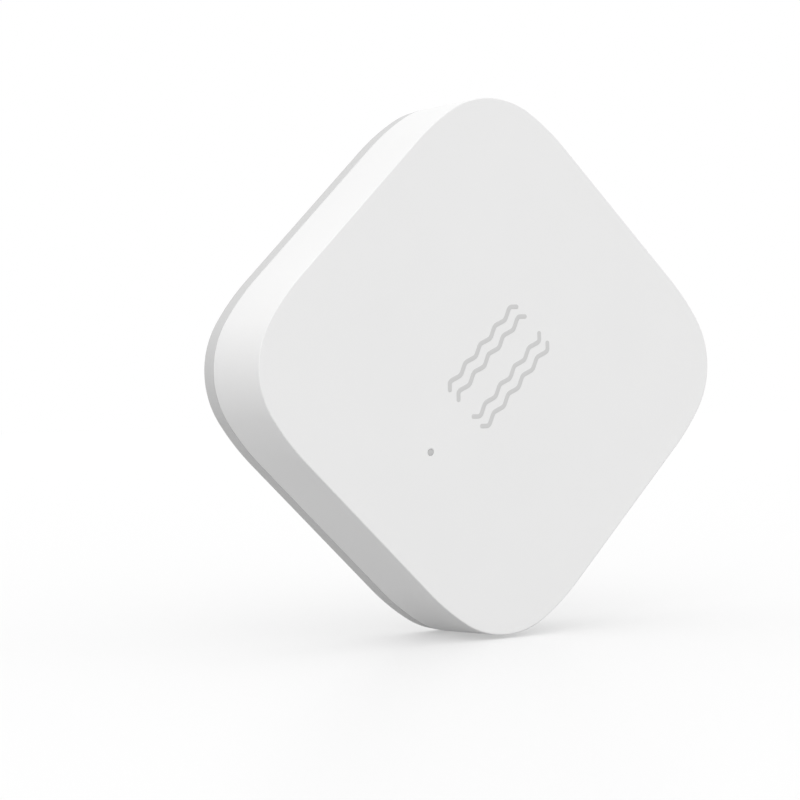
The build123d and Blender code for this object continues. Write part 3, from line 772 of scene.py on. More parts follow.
# %% Drill the holes
below_collar = collar_low - overrun
pipe_bore = [
    (0, below_collar),
    (pipe_flange_radius + light_hole_clearance, below_collar),
    (pipe_flange_radius + light_hole_clearance, ceiling_level),
    (pipe_tip_radius + light_hole_clearance, ceiling_level),
    (pipe_tip_radius + light_hole_clearance, face_level - light_hole_ease_depth),
    (pipe_tip_radius + light_hole_ease, face_level + past_face),
    (0, face_level + past_face),
]
below_pilots, pilot_end = board_high[2] - overrun, board_high[2] + pilot_depth
below_sockets, socket_top = socket_level - overrun, socket_level + post_length + post_spare_depth
socket_radius = post_radius + post_clearance
cuts = [bore(screw_radius, below_pilots, pilot_end, place) for place in screw_places]
cuts += [bore(socket_radius, below_sockets, socket_top, place) for place in post_places]
cuts += [skin(turned(pipe_bore, indicator, small_columns)), slot_cutter()]
carve(front_shell, build("drills", *cuts))
dress(front_shell, "sensor_body", "shell_plastic", "front_cover")

# %% [markdown]
# ## Rear shell
# The base is a shallow tray: the thin grey band that shows behind the shell, a tongue that the
# shell slides over, two guide posts, a ring that keeps a foam pad, and four stiffening ribs. Its
# back has a shallow recess for the foam tape. Again one closed profile makes the tray. The small
# notch in the band takes a coin or a nail to pull the shell off.

# %% Sweep the tray
floor_thickness = 1.5
tape_recess = 0.3
tape_inset = 5.0
tongue_thickness = 1.3
tongue_clearance = 0.1
band_taper = 0.05
band_edge_radius = 0.2
post_chamfer = 0.3
shoulder_clearance = 0.1
foam_radius = 7.5
foam_ring_clearance = 0.3
foam_ring_wall = 1.0
rib_thickness = 0.8
rib_height = 0.6
rib_end_gap = 3.0
notch_width = 9.0
notch_height = 1.2
notch_depth = 1.0

tray_floor = base_level + floor_thickness
tongue_offset = wall_offset(tongue_level) - wall_thickness - tongue_clearance
tray_rows = rounded(
    [
        (face_ring, base_level + tape_recess),
        (-tape_inset, base_level + tape_recess),
        (-tape_inset, base_level),
        (foot_flare - band_taper, base_level),
        (foot_flare, parting_level),
        (tongue_offset, parting_level),
        (tongue_offset, tongue_level),
        (tongue_offset - tongue_thickness, tongue_level),
        (tongue_offset - tongue_thickness, tray_floor),
        (face_ring, tray_floor),
    ],
    [eased, eased, band_edge_radius, crisp, eased, soft, soft, broad],
)
rear_shell = build("rear_shell", swept_plate(tray_rows))
print("tray from", round(base_level, 2), "to", round(tongue_level, 2), "mm")

# %% [markdown]
# The two posts guide the shell as it comes off and goes back. Each has a wide foot, a shoulder that
# meets the socket's rim, and a chamfered tip that finds the hole. The ribs stiffen the thin floor.

# %% Profiles of the posts and the ring
tray_bed = tray_floor - bedded
post_top = socket_level + post_length
shoulder_level = socket_level - shoulder_clearance
post_profile = rounded(
    [
        (0, tray_bed),
        (boss_radius, tray_bed),
        (boss_radius, shoulder_level),
        (post_radius, shoulder_level),
        (post_radius, post_top - post_chamfer),
        (post_radius - post_chamfer, post_top),
        (0, post_top),
    ],
    [0, soft, eased, eased, eased],
)
ring_inner = foam_radius + foam_ring_clearance
ring_outer = ring_inner + foam_ring_wall
ring_middle = ring_inner + foam_ring_wall / 2
ring_top = tray_floor + rib_height
ring_profile = rounded(
    [
        (ring_middle, tray_bed),
        (ring_outer, tray_bed),
        (ring_outer, ring_top),
        (ring_inner, ring_top),
        (ring_inner, tray_bed),
        (ring_middle, tray_bed),
    ],
    [0, soft, soft, 0],
)[:-1]
print("posts", round(post_top, 2), "mm up, ring", round(ring_top - tray_floor, 2), "mm high")

# %% Mould the posts, ring and ribs
rib_end = face_half + tongue_offset - tongue_thickness - rib_end_gap
ribs = [
    turned_about_axis(
        bar(
            (ring_outer - foam_ring_wall / 2, -rib_thickness / 2, tray_bed),
            (rib_end, rib_thickness / 2, ring_top),
            eased,
        ),
        side * pi / 2,
    )
    for side in range(4)
]
posts = [skin(turned(post_profile, place)) for place in post_places]
foam_ring = skin(turned(ring_profile, (0, 0), ring_columns), ring=True)
notch_x = face_half + foot_flare
notch = bar(
    (notch_x - notch_depth, -notch_width / 2, parting_level - notch_height),
    (notch_x + overrun, notch_width / 2, parting_level + overrun),
    broad,
)
joined(rear_shell, build("posts", *posts, foam_ring), build("ribs", *ribs))
carve(rear_shell, build("notch", notch))
dress(rear_shell, "back_plate", "base_plastic", "rear_cover")

# %% [markdown]
# ## Foam tape and rattle pad
# The tape is a soft double-sided foam, cut to the outline of the recess. Its cut edge is a little
# hollow, because the foam springs back after the knife. The round pad on the base's floor keeps the
# cell from rattling.

# %% Cut the foam
tape_clearance = 0.05
edge_hollow = 0.12
cut_rows = 9
rise = np.linspace(0, 1, cut_rows)
tape_offset = -tape_inset - tape_clearance - edge_hollow * np.sin(pi * rise)
tape_side = np.stack([tape_offset, tape_level * rise], axis=-1)
tape_rows = np.vstack([[(face_ring, 0)], tape_side, [(face_ring, tape_level)]])
foam_tape = build("foam_tape", swept_plate(tape_rows))
dress(foam_tape, "back_plate", "foam_tape", "adhesive_pad")

rattle_low, rattle_high = bench_box("battery_pad")
rattle_height = rattle_high[2] - rattle_low[2]
soft_side = foam_radius - edge_hollow * np.sin(pi * rise)
rattle_rows = np.vstack(
    [
        [(0, rattle_low[2])],
        np.stack([soft_side, rattle_low[2] + rattle_height * rise], axis=-1),
        [(0, rattle_high[2])],
    ]
)
rattle_pad = build("rattle_pad", skin(turned(rattle_rows, (0, 0), disc_columns)))
dress(rattle_pad, "back_plate", "grey_foam", "battery_pad")

# %% [markdown]
# ## Vibration mark
# Four upright wavy strokes, two on each side, with short slanting tails that lean to the middle.
# On the real tag they are printed, so each stroke is a thin film of ink on the face. The line of
# a stroke is a wave whose crests are a little pointed, which a third harmonic gives. A film with
# round ends is carried along it.

# %% Sizes of a stroke
wave_height = 11.5
wave_amplitude = 0.22
wave_count = 4
wave_point_share = 0.05
tail_bend_radius = 0.45
tail_angle = radians(45)
tail_length = 0.62
stroke_width = 0.52
bend_points, wave_points, line_points, end_points = 8, 220, 360, 8
shoulder_shares = [(0.8, 1), (0.94, 0.85), (1, 0.4), (1, -1)]
inner_stroke_x = 1.7
outer_stroke_x = 3.25
crest_pitch = round(wave_height / wave_count, 2)
print("strokes", stroke_width, "mm wide,", crest_pitch, "mm from crest to crest")


# %% Draw a stroke's line
def tail(centre_x, lean, end):
    """Points of a tail from the last crest out: a tight bend, then a straight run."""
    bend_x = centre_x + lean * (tail_bend_radius - wave_amplitude)
    angle = (pi if lean > 0 else 0) - lean * end * np.linspace(0, tail_angle, bend_points)
    middle = np.array([bend_x, end * wave_height / 2])
    bend = middle + tail_bend_radius * np.stack([np.cos(angle), np.sin(angle)], axis=-1)
    tip = bend[-1] + tail_length * np.array([lean * sin(tail_angle), end * cos(tail_angle)])
    return np.vstack([bend, tip])


def stroke_line(centre_x, lean):
    """A stroke's line, with a tail at each end.

    x = centre - lean * amplitude * pointed cosine of y.
    """
    y = np.linspace(-wave_height / 2, wave_height / 2, wave_points)
    turns = 2 * pi * wave_count * (y / wave_height + 0.5)
    crest = (np.cos(turns) + wave_point_share * np.cos(3 * turns)) / (1 + wave_point_share)
    wave = np.stack([centre_x - lean * wave_amplitude * crest, y], axis=-1)
    line = np.vstack([tail(centre_x, lean, -1)[::-1], wave[1:-1], tail(centre_x, lean, 1)])
    length = np.concatenate([[0], np.cumsum(np.linalg.norm(np.diff(line, axis=0), axis=1))])
    even = np.linspace(0, length[-1], line_points)
    return np.stack([np.interp(even, length, line[:, n]) for n in range(2)], axis=-1), even


# %% Lay the ink
def ink_film(line, along):
    """A thin film on a line, with round ends, as a skin.

    Half width = stroke / 2 * sqrt(1 - (1 - s)^2) where s, the distance from the nearer end in half
    widths, is under 1. The film's section is flat with softened shoulders, written as shares of
    the half width and of the film's height.
    """
    half = stroke_width / 2
    before_start = -half * np.linspace(1, 0, end_points + 1)[:-1]
    past_end = along[-1] + half * np.linspace(0, 1, end_points + 1)[1:]
    reach = np.concatenate([before_start, along, past_end])
    run = np.gradient(line, axis=0)
    run /= np.linalg.norm(run, axis=1)[:, None]
    before = line[0] + run[0] * reach[:end_points, None]
    beyond = line[-1] + run[-1] * (reach[-end_points:, None] - along[-1])
    line = np.vstack([before, line, beyond])
    run = np.vstack([np.tile(run[0], (end_points, 1)), run, np.tile(run[-1], (end_points, 1))])
    outside = np.clip(np.maximum(-reach, reach - along[-1]) / half, 0, 1)
    width = half * np.sqrt(1 - outside**2)
    across = np.stack([-run[:, 1], run[:, 0]], axis=-1)
    section = np.array([(-x, y) for x, y in shoulder_shares[::-1]] + shoulder_shares)
    flat = line[:, None, :] + across[:, None, :] * (width[:, None] * section[:, 0])[..., None]
    level = face_level + film_height * section[:, 1] * (width[:, None] > 0)
    return skin(np.concatenate([flat, level[..., None]], axis=-1))


strokes = [
    ink_film(*stroke_line(side * distance, -side))
    for side in (-1, 1)
    for distance in (inner_stroke_x, outer_stroke_x)
]
vibration_strokes = build("vibration_strokes", *strokes)
dress(vibration_strokes, "sensor_body", "mark_grey", "vibration_mark")

# %% [markdown]
# ## Indicator
# The dot under the mark is the end of a light pipe: a small stepped pin of smoky clear plastic that
# carries the lamp's light to the face. Its tip sits a hair below the face and is slightly domed.

# %% Turn the light pipe
pipe_flange_height = 0.6
pipe_stem_radius = 0.8
tip_dome = 0.04
tip_sunk = 0.02
dome_points = 7
across = np.linspace(1, 0, dome_points)
dome = np.stack([pipe_tip_radius * across, face_level - tip_sunk - tip_dome * across**2], axis=-1)
pipe_profile = rounded(
    [
        (0, pipe_low[2]),
        (pipe_stem_radius, pipe_low[2]),
        (pipe_stem_radius, ceiling_level - pipe_flange_height),
        (pipe_flange_radius, ceiling_level - pipe_flange_height),
        (pipe_flange_radius, ceiling_level),
        (pipe_tip_radius, ceiling_level),
        tuple(dome[0]),
    ],
    [eased, crisp, eased, crisp, crisp],
)
pipe_pin = build("pipe_pin", skin(turned(np.vstack([pipe_profile[:-1], dome]), indicator)))
dress(pipe_pin, "sensor_body", "pipe_clear", "light_pipe")

# %% [markdown]
# ## Reset button
# The button fills its window in the top wall, stands a touch proud, and has a flange behind the
# wall that keeps it in. Its face is slightly hollow so that a nail finds it.

# %% Shape the button
hollow_share, hollow_points, hollow_depth = 0.85, 6, 0.06
cap_bed = 0.2
button_top = button_high[1]
flange_top = button_low[1] + flange_thickness
cap_root = flange_top - cap_bed
radius = button_height / 2
spread = np.linspace(hollow_share, 0, hollow_points) * radius
hollow = np.stack([spread, button_top - hollow_depth * (1 - (spread / radius) ** 2)], axis=-1)
button_profile = rounded(
    [(0, cap_root), (radius, cap_root), (radius, button_top), tuple(hollow[0])],
    [0, soft],
)
slot_stretch = button_length - button_height
cap = skin(turned(np.vstack([button_profile[:-1], hollow]), (0, 0), stretch=slot_stretch))
flange = bar(
    (button_low[0], button_low[1], button_low[2]),
    (button_high[0], flange_top, button_high[2]),
    eased,
)
nail_button = build("nail_button", flange)
joined(nail_button, build("button_cap", to_top_wall(cap, button_level)))
dress(nail_button, "button", "button_plastic", "reset_button")

# %% [markdown]
# ## Main board
# With the shell off, the board is what one looks at. It is cut from a panel by a router, so its
# outline follows the shell, with round ends where the posts pass, a notch for the button's flange
# and two clear holes for the screws. The router leaves edges that are barely broken.

# %% Rout the board
board_offset = board_high[0] - face_half
board_edge = 0.06
board_rows = rounded(
    [
        (face_ring, board_low[2]),
        (board_offset, board_low[2]),
        (board_offset, board_high[2]),
        (face_ring, board_high[2]),
    ],
    [board_edge, board_edge],
    steps=3,
)
screw_hole_clearance = 0.15
web_slot_reach = 6.0
button_flange_room = 0.4
button_travel = 0.3
below, above = board_low[2] - overrun, board_high[2] + overrun
router = [bore(screw_radius + screw_hole_clearance, below, above, place) for place in screw_places]
router += [bore(boss_radius + web_clearance, below, above, place) for place in post_places]
slot_half = web_half + web_clearance
slot_end = boss_reach + web_slot_reach
web_slots = [
    corner_bar(slot_half, slot_end, below, above, angle) for angle in (radians(45), radians(-135))
]
button_notch = bar(
    (button_low[0] - button_flange_room, button_low[1] - button_travel - button_flange_room, below),
    (button_high[0] + button_flange_room, board_high[1] + overrun, above),
    broad,
)
main_board = build("main_board", swept_plate(board_rows))
carve(main_board, build("router", *router), build("web_slots", *web_slots, button_notch))
dress(main_board, "sensor_body", "board_green", "circuit_board")

# %% [markdown]
# ## Screws
# The board screws are small pan heads with a cross recess, and their shanks have a coarse thread
# for plastic. The thread is a true helix: each turn's radius rises and falls along the shank
# while the angle goes round once per pitch. The recess is cut last, by two crossed bars.

# %% Sizes of the screws
screw_top = screw_high[2]
head_low = screw_low[2]
head_high = board_low[2]
thread_pitch = 0.55
thread_depth = 0.14
point_length = 0.5
point_share = 0.35
plain_neck = 0.15
thread_run_in = 0.3
neck_step = 0.02
pan_flat_share = 0.72
pan_rise = 0.4
pan_round = 0.5
shank_points, screw_columns = 70, 40
recess_half = 0.17
recess_reach = 0.85
recess_depth = 0.42
print("screws", round(screw_top - head_low, 2), "mm long, thread pitch", thread_pitch, "mm")


# %% Turn a screw
def screw_skin(place):
    """A pan-head screw with its head down.

    Shank radius = core radius * (1 + depth / screw radius * ridge), where ridge is a sharpened
    cosine of level / pitch - angle / 2 pi, and both ends of the thread fade out. The core draws in
    to the point.
    """
    head = rounded(
        [
            (0, head_low),
            (pan_flat_share * screw_head_radius, head_low),
            (screw_head_radius, head_low + pan_rise),
            (screw_head_radius, head_high),
            (screw_radius - thread_depth, head_high),
        ],
        [pan_round, broad, crisp],
    )
    level = np.linspace(head_high + neck_step, screw_top, shank_points)
    shank = np.stack([np.full_like(level, screw_radius - thread_depth), level], axis=-1)
    grid = turned(np.vstack([head, shank, [(0, screw_top)]]), (0, 0), screw_columns)
    angle = np.arctan2(grid[..., 1], grid[..., 0])
    turns = grid[..., 2] / thread_pitch - angle / (2 * pi)
    ridge = np.maximum(np.cos(2 * pi * turns), 0) ** 2
    to_point = (screw_top - grid[..., 2]) / point_length
    from_neck = (grid[..., 2] - head_high - plain_neck) / thread_run_in
    fade = np.clip(from_neck, 0, 1) * np.clip(to_point, 0, 1)
    taper = np.clip(to_point, point_share, 1)
    on_shank = (np.arange(len(grid)) >= len(head))[:, None]
    scale = np.where(on_shank, taper * (1 + thread_depth / screw_radius * ridge * fade), 1.0)
    grid[..., :2] *= scale[..., None]
    grid[..., :2] += place
    return skin(grid)


# %% Turn both screws and cut their recesses
def recess_bit(x, y, wide, tall):
    """One bar of the cross recess."""
    low = (x - wide, y - tall, head_low - overrun)
    return bar(low, (x + wide, y + tall, head_low + recess_depth), eased)


screws = build("case_screws", *[screw_skin(place) for place in screw_places])
arms = ((recess_reach, recess_half), (recess_half, recess_reach))
bits = [recess_bit(*place, *arm) for place in screw_places for arm in arms]
carve(screws, build("bit_one", *bits[::2]), build("bit_two", *bits[1::2]))
dress(screws, "sensor_body", "screw_steel", "board_screws")

# %% [markdown]
# ## Probe pads
# Five round pads on the board's back let the factory load and test it. They are gilded copper, a
# tenth of a millimetre proud, and their faces fall a little towards the rim.

# %% Plate the pads
pad_low, pad_high = bench_box("test_pads")
pad_radius = (pad_high[1] - pad_low[1]) / 2
pad_count = 5
pad_fall = 0.03
pad_x = np.linspace(pad_low[0] + pad_radius, pad_high[0] - pad_radius, pad_count)
pad_y = (pad_low[1] + pad_high[1]) / 2
pad_edge = pad_low[2] + pad_fall
pad_rows = rounded(
    [(0, pad_low[2]), (pad_radius, pad_edge), (pad_radius, pad_high[2]), (0, pad_high[2])],
    [crisp, 0],
)
pads = [skin(turned(pad_rows, (x, pad_y), small_columns)) for x in pad_x]
probe_pads = build("probe_pads", *pads)
dress(probe_pads, "sensor_body", "gold_plate", "test_pads")

# %% [markdown]
# ## Coin cell
# The cell is two pressed steel cups with a plastic ring between them. The outer can is drawn with a
# round bottom edge and rolled over the seal at its rim, and the inner cap is a shallow lid. The
# chemistry inside is three discs.

# %% Press the cell
can_low, can_high = bench_box("battery_can")
seal_low, seal_high = bench_box("battery_seal")
cap_low, cap_high = bench_box("battery_cap")
cell_radius = can_high[0]
can_wall = 0.25
crimp_reach = 0.55
crimp_inner = cell_radius - can_wall - crimp_reach
cap_radius = cap_high[0]
crimp_level = can_high[2]

can_rows = rounded(
    [
        (0, can_low[2]),
        (cell_radius, can_low[2]),
        (cell_radius, crimp_level),
        (crimp_inner, crimp_level),
        (crimp_inner, crimp_level - can_wall),
        (cell_radius - can_wall, crimp_level - can_wall),
        (cell_radius - can_wall, can_low[2] + can_wall),
        (0, can_low[2] + can_wall),
    ],
    [broad, broad, eased, crisp, eased, eased],
)
cell_can = build("cell_can", skin(turned(can_rows, (0, 0), cell_columns)))
dress(cell_can, "sensor_body", "cell_steel", "battery_can")

seal_rows = rounded(
    [
        (cap_radius, seal_low[2]),
        (seal_high[0], seal_low[2]),
        (seal_high[0], crimp_level - can_wall),
        (crimp_inner, crimp_level - can_wall),
        (crimp_inner, seal_high[2]),
        (cap_radius, seal_high[2]),
        (cap_radius, seal_low[2]),
    ],
    [eased, eased, crisp, crisp, crisp],
)[:-1]
cell_seal = build("cell_seal", skin(turned(seal_rows, (0, 0), cell_columns), ring=True))
dress(cell_seal, "sensor_body", "seal_plastic", "battery_seal")

# %% Cap and fillings
cap_wall = 0.25
cap_rows = rounded(
    [
        (0, cap_high[2]),
        (cap_radius, cap_high[2]),
        (cap_radius, cap_low[2]),
        (cap_radius - cap_wall, cap_low[2]),
        (cap_radius - cap_wall, cap_high[2] - cap_wall),
        (0, cap_high[2] - cap_wall),
    ],
    [broad, eased, eased, eased],
)
cell_cap = build("cell_cap", skin(turned(cap_rows, (0, 0), cell_columns)))
dress(cell_cap, "sensor_body", "cell_steel", "battery_cap")

for name, node, slot_name in (
    ("cell_cathode", "battery_cathode", "cathode_black"),
    ("cell_separator", "battery_separator", "separator_white"),
    ("cell_anode", "battery_anode", "anode_grey"),
):
    low, high = bench_box(node)
    edge = min(soft, (high[2] - low[2]) / 3)
    disc = build(name, post(high[0], low[2], high[2], (0, 0), edge, disc_columns))
    dress(disc, "sensor_body", slot_name, node)

# %% [markdown]
# ## Cell holder
# The holder is a round black moulding, soldered to the board through its web. Two small latches
# reach over the cell's edge, and a gap in the wall lets a thumb push the cell out.

# %% Mould the holder
holder_high = bench_box("battery_holder")[1]
holder_outer = holder_high[0]
cell_clearance = 0.25
holder_inner = cell_radius + cell_clearance
holder_web_height = 0.65
holder_web_radius = 8.0
thumb_width = 6.0
thumb_step = 0.02
latch_angle = radians(38)
latch_width = 2.4
latch_overlap = 0.55
latch_height = 0.5
latch_root = 0.6
latch_bed = 0.35
holder_drop = 3.2
web_level = holder_high[2] - holder_web_height
holder_floor = board_low[2] - holder_drop

holder_rows = rounded(
    [
        (holder_web_radius, holder_high[2]),
        (holder_outer, holder_high[2]),
        (holder_outer, holder_floor),
        (holder_inner, holder_floor),
        (holder_inner, web_level),
        (holder_web_radius, web_level),
        (holder_web_radius, holder_high[2]),
    ],
    [crisp, broad, broad, soft, soft],
)[:-1]
beak = bar(
    (-latch_width / 2, -(holder_inner + latch_root), can_low[2] - latch_height),
    (latch_width / 2, -(cell_radius - latch_overlap), holder_floor + latch_bed),
    eased,
)
latches = [turned_about_axis(beak, angle) for angle in (-latch_angle, latch_angle)]
cell_holder = build("cell_holder", skin(turned(holder_rows, (0, 0), cell_columns), ring=True))
joined(cell_holder, build("latches", *latches))
thumb_gap = bar(
    (-thumb_width / 2, -holder_outer - overrun, holder_floor - overrun),
    (thumb_width / 2, -holder_web_radius - thumb_step, web_level),
    broad,
)
carve(cell_holder, build("thumb_gap", thumb_gap))
dress(cell_holder, "sensor_body", "holder_plastic", "battery_holder")

# %% [markdown]
# ## Contacts
# Both contacts are strips stamped from thin spring steel and bent. A strip is its side view, a
# line of straight runs and round bends, given a thickness and a width. The line is followed by
# its offset on both sides, so the metal keeps its thickness round every bend.

# %% Bend the strips
strip_edge_share = 0.2
bend_steps = 8


def strip(line, bends, thickness, half_width, side_on="y"):
    """A bent strip as a skin.

    The line lies in (run, level). Its points move half a thickness along both normals, which makes
    a closed loop, and the loop is drawn across the width with slightly rounded edges. Both sides
    are closed by a row of faces that pair each point of the loop with the one across the metal.
    """
    path = rounded(line, bends, steps=bend_steps)
    run = np.gradient(path, axis=0)
    run /= np.linalg.norm(run, axis=1)[:, None]
    normal = np.stack([-run[:, 1], run[:, 0]], axis=-1)
    edge = thickness * strip_edge_share

    def loop(across, inset):
        half = thickness / 2 - inset
        flat = np.vstack([path + normal * half, (path - normal * half)[::-1]])
        sideways = np.full(len(flat), across)
        columns = (sideways, flat[:, 0]) if side_on == "y" else (flat[:, 0], sideways)
        return np.stack([*columns, flat[:, 1]], axis=-1)

    flat_end = half_width - edge
    stations = [(-half_width, edge), (-flat_end, 0), (flat_end, 0), (half_width, edge)]
    loops = np.stack([loop(across, inset) for across, inset in stations])
    points, faces = skin(loops)
    count, columns = len(path), loops.shape[1]
    rank = np.arange(count - 1)
    ends = np.stack([rank, rank + 1, columns - 2 - rank, columns - 1 - rank], axis=-1)
    caps = np.vstack([ends, ends[:, ::-1] + 3 * columns])
    first = points[caps[0]]
    facing = np.cross(first[1] - first[0], first[2] - first[0])[0 if side_on == "y" else 1]
    return points, np.vstack([faces, caps if facing < 0 else caps[:, ::-1]])


# %% [markdown]
# The positive strip comes down from the board outside the holder and runs in under the cell. The
# negative one is a soft S that presses on the cell's cap from the board's side.

# %% The two contacts
plus_low, plus_high = bench_box("positive_contact")
strip_thickness = 0.25
leg_clearance = 0.05
half = strip_thickness / 2
leg = holder_outer + leg_clearance + half
finger_level = plus_low[2] + half
plus_line = [
    (plus_low[1], finger_level),
    (leg, finger_level),
    (leg, board_low[2] - half),
    (plus_high[1], board_low[2] - half),
]
plus_strip = strip(plus_line, [broad, broad], strip_thickness, plus_high[0])
plus_contact = build("plus_contact", plus_strip)
dress(plus_contact, "sensor_body", "spring_steel", "positive_contact")

minus_low, minus_high = bench_box("negative_contact")
spring_thickness = 0.2
half = spring_thickness / 2
spring_rise = 4.0
minus_line = [
    (minus_low[0], board_low[2] - half),
    (0, board_low[2] - half),
    (spring_rise, minus_low[2] + half),
    (minus_high[0], minus_low[2] + half),
]
spring_bends = [3.0, 1.5]
minus_strip = strip(minus_line, spring_bends, spring_thickness, minus_high[1], side_on="x")
minus_contact = build("minus_contact", minus_strip)
dress(minus_contact, "sensor_body", "spring_steel", "negative_contact")

# %% [markdown]
# ## Radio
# The radio sits on its own small board: a chip and a crystal under a pressed shield can, and an
# aerial printed as a zigzag of copper. The can is a lid with soft corners and a few vent holes,
# cut hollow from a solid bar.

# %% Board and shield can
radio_low, radio_high = bench_box("radio_board")
daughter_board = build("daughter_board", bar(radio_low, radio_high, board_edge))
dress(daughter_board, "sensor_body", "radio_board_blue", "radio_board")

shield_low, shield_high = bench_box("radio_shield")
shield_wall = 0.2
shield_can = build("shield_can", bar(shield_low - [0, 0, overrun], shield_high, broad))
hollow_low = shield_low + [shield_wall, shield_wall, -2 * overrun]
hollow_high = shield_high - shield_wall
skirt_high = [shield_high[0] + overrun, shield_high[1] + overrun, shield_low[2]]
skirt = bar(shield_low - [overrun, overrun, 2 * overrun], skirt_high)
vent_radius = 0.35
vent_columns, vent_rows = 3, 2
vent_x = np.linspace(shield_low[0], shield_high[0], vent_columns + 2)[1:-1]
vent_y = np.linspace(shield_low[1], shield_high[1], vent_rows + 2)[1:-1]
vent_low, vent_high = hollow_high[2] - overrun / 2, shield_high[2] + overrun
vents = [bore(vent_radius, vent_low, vent_high, (x, y)) for x in vent_x for y in vent_y]
carve(shield_can, build("hollow", bar(hollow_low, hollow_high, soft)), build("skirt", skirt))
carve(shield_can, build("vents", *vents))
dress(shield_can, "sensor_body", "tin_plate", "radio_shield")

# %% [markdown]
# The aerial is one line that goes up and down seven legs. A flat track with square mitred turns is
# carried along it, a tenth of a millimetre thick. The track's section is written as shares of its
# half width and of its height.

# %% Print the aerial
track_shares = np.array([(-1, 0), (-1, 0.7), (-0.9, 1), (0.9, 1), (1, 0.7), (1, 0)])


def track(line, width, low, high):
    """A flat printed track along straight runs with mitred turns, as a skin.

    At a turn between runs with normals m and n, both edges move width / 2 * (m + n) / (1 + m . n).
    """
    line = np.asarray(line, float)
    run = np.diff(line, axis=0)
    run /= np.linalg.norm(run, axis=1)[:, None]
    normal = np.stack([-run[:, 1], run[:, 0]], axis=-1)
    before = np.vstack([normal[:1], normal])
    beyond = np.vstack([normal, normal[-1:]])
    mitre = (before + beyond) / (1 + np.sum(before * beyond, axis=1))[:, None]
    line = np.vstack([line[:1], line, line[-1:]])
    mitre = np.vstack([0 * mitre[:1], mitre, 0 * mitre[:1]])
    flat = line[:, None, :] + mitre[:, None, :] * (width / 2 * track_shares[:, 0])[:, None]
    level = low + (high - low) * track_shares[:, 1] * np.any(mitre != 0, axis=1)[:, None]
    return skin(np.concatenate([flat, level[..., None]], axis=-1))


aerial_low, aerial_high = bench_box("radio_aerial")
aerial_width = 0.5
leg_count = 7
inset = aerial_width / 2
leg_x = np.linspace(aerial_low[0] + inset, aerial_high[0] - inset, leg_count)
near, far = aerial_low[1] + inset, aerial_high[1] - inset
zigzag = [(x, y) for n, x in enumerate(leg_x) for y in ((near, far) if n % 2 == 0 else (far, near))]
zigzag[0] = (leg_x[0], aerial_low[1])
zigzag[-1] = (leg_x[-1], aerial_high[1] if leg_count % 2 else aerial_low[1])
printed_aerial = build("printed_aerial", track(zigzag, aerial_width, aerial_low[2], aerial_high[2]))
dress(printed_aerial, "sensor_body", "gold_plate", "radio_aerial")

# %% [markdown]
# ## Chips
# Moulded chips have softly rounded bodies, and some have a small dimple that marks the first lead.
# The leaded ones stand on two rows of flat feet, each pair one bar that runs under the body.

# %% Mould the chips
dimple_reach = 3
dimple_columns = 24


def moulded_chip(name, node, slot_name, edge, dimple=0.0):
    """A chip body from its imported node's box, with an optional round dimple in one corner."""
    low, high = bench_box(node)
    chip = build(name, bar(low, high, edge))
    if dimple:
        corner = (low[0] + dimple_reach * dimple, high[1] - dimple_reach * dimple)
        drill = post(dimple, high[2] - crisp, high[2] + overrun, corner, 0, dimple_columns)
        carve(chip, build("dimple", drill))
    return dress(chip, "sensor_body", slot_name, node)


moulded_chip("radio_processor", "radio_chip", "chip_black", crisp, dimple=0.25)
moulded_chip("radio_timing_crystal", "radio_crystal", "tin_plate", eased)
moulded_chip("motion_chip", "accelerometer", "chip_black", crisp, dimple=0.18)
moulded_chip("clock_quartz", "clock_crystal", "tin_plate", eased)
moulded_chip("tantalum_block", "reservoir_capacitor", "chip_black", eased)

# %% Leaded chips
lead_length, lead_width, lead_thickness = 0.9, 0.4, 0.2
chip_stand_off = 0.05


def leaded_chip(name, node, lead_count):
    """A moulded body on two rows of flat feet that run under it."""
    low, high = bench_box(node)
    pitch = (high[0] - low[0]) / lead_count
    body_low = (low[0], low[1] + lead_length, low[2] + chip_stand_off)
    body = bar(body_low, (high[0], high[1] - lead_length, high[2]), eased)
    centres = low[0] + pitch * (np.arange(lead_count) + 0.5)
    lead_top = low[2] + lead_thickness
    feet = [
        bar((x - lead_width / 2, low[1], low[2]), (x + lead_width / 2, high[1], lead_top), crisp)
        for x in centres
    ]
    chip = joined(build(name, body), build("feet", *feet))
    return dress(chip, "sensor_body", "chip_black", node)


leaded_chip("store_chip", "memory_chip", 4)
leaded_chip("regulator_chip", "voltage_regulator", 2)

# %% [markdown]
# Chip capacitors and resistors are small ceramic bricks with a tinned cap at each end. The cap is
# dipped on, so it stands a few hundredths proud of the body on every side.

# %% Chip parts in rows
part_length = 1.6
part_pitch = 2.6
part_count = 6
end_length = 0.3
end_step = 0.03


def chip_row(name, node, slot_name):
    """A row of equal chip parts, each a body with a cap pushed on at both ends."""
    low, high = bench_box(node)
    bodies, ends = [], []
    for x in low[0] + part_pitch * np.arange(part_count):
        body_low = (x + end_step, low[1] + end_step, low[2] + end_step)
        body_high = (x + part_length - end_step, high[1] - end_step, high[2] - end_step)
        bodies.append(bar(body_low, body_high, crisp))
        for start in (x, x + part_length - end_length):
            ends.append(bar((start, low[1], low[2]), (start + end_length, high[1], high[2]), crisp))
    return dress(joined(build(name, *bodies), build("ends", *ends)), "sensor_body", slot_name, node)


chip_row("ceramic_capacitors", "capacitors", "capacitor_tan")
chip_row("chip_resistors", "resistors", "resistor_black")

# %% [markdown]
# ## Side switch
# The switch is a moulded case with a chamber, a snap dome at its back, a plunger whose wider head
# can't leave the chamber, and a folded steel lid. The chamber and the plunger's channel are cut
# from the case, because a real case is open there too.

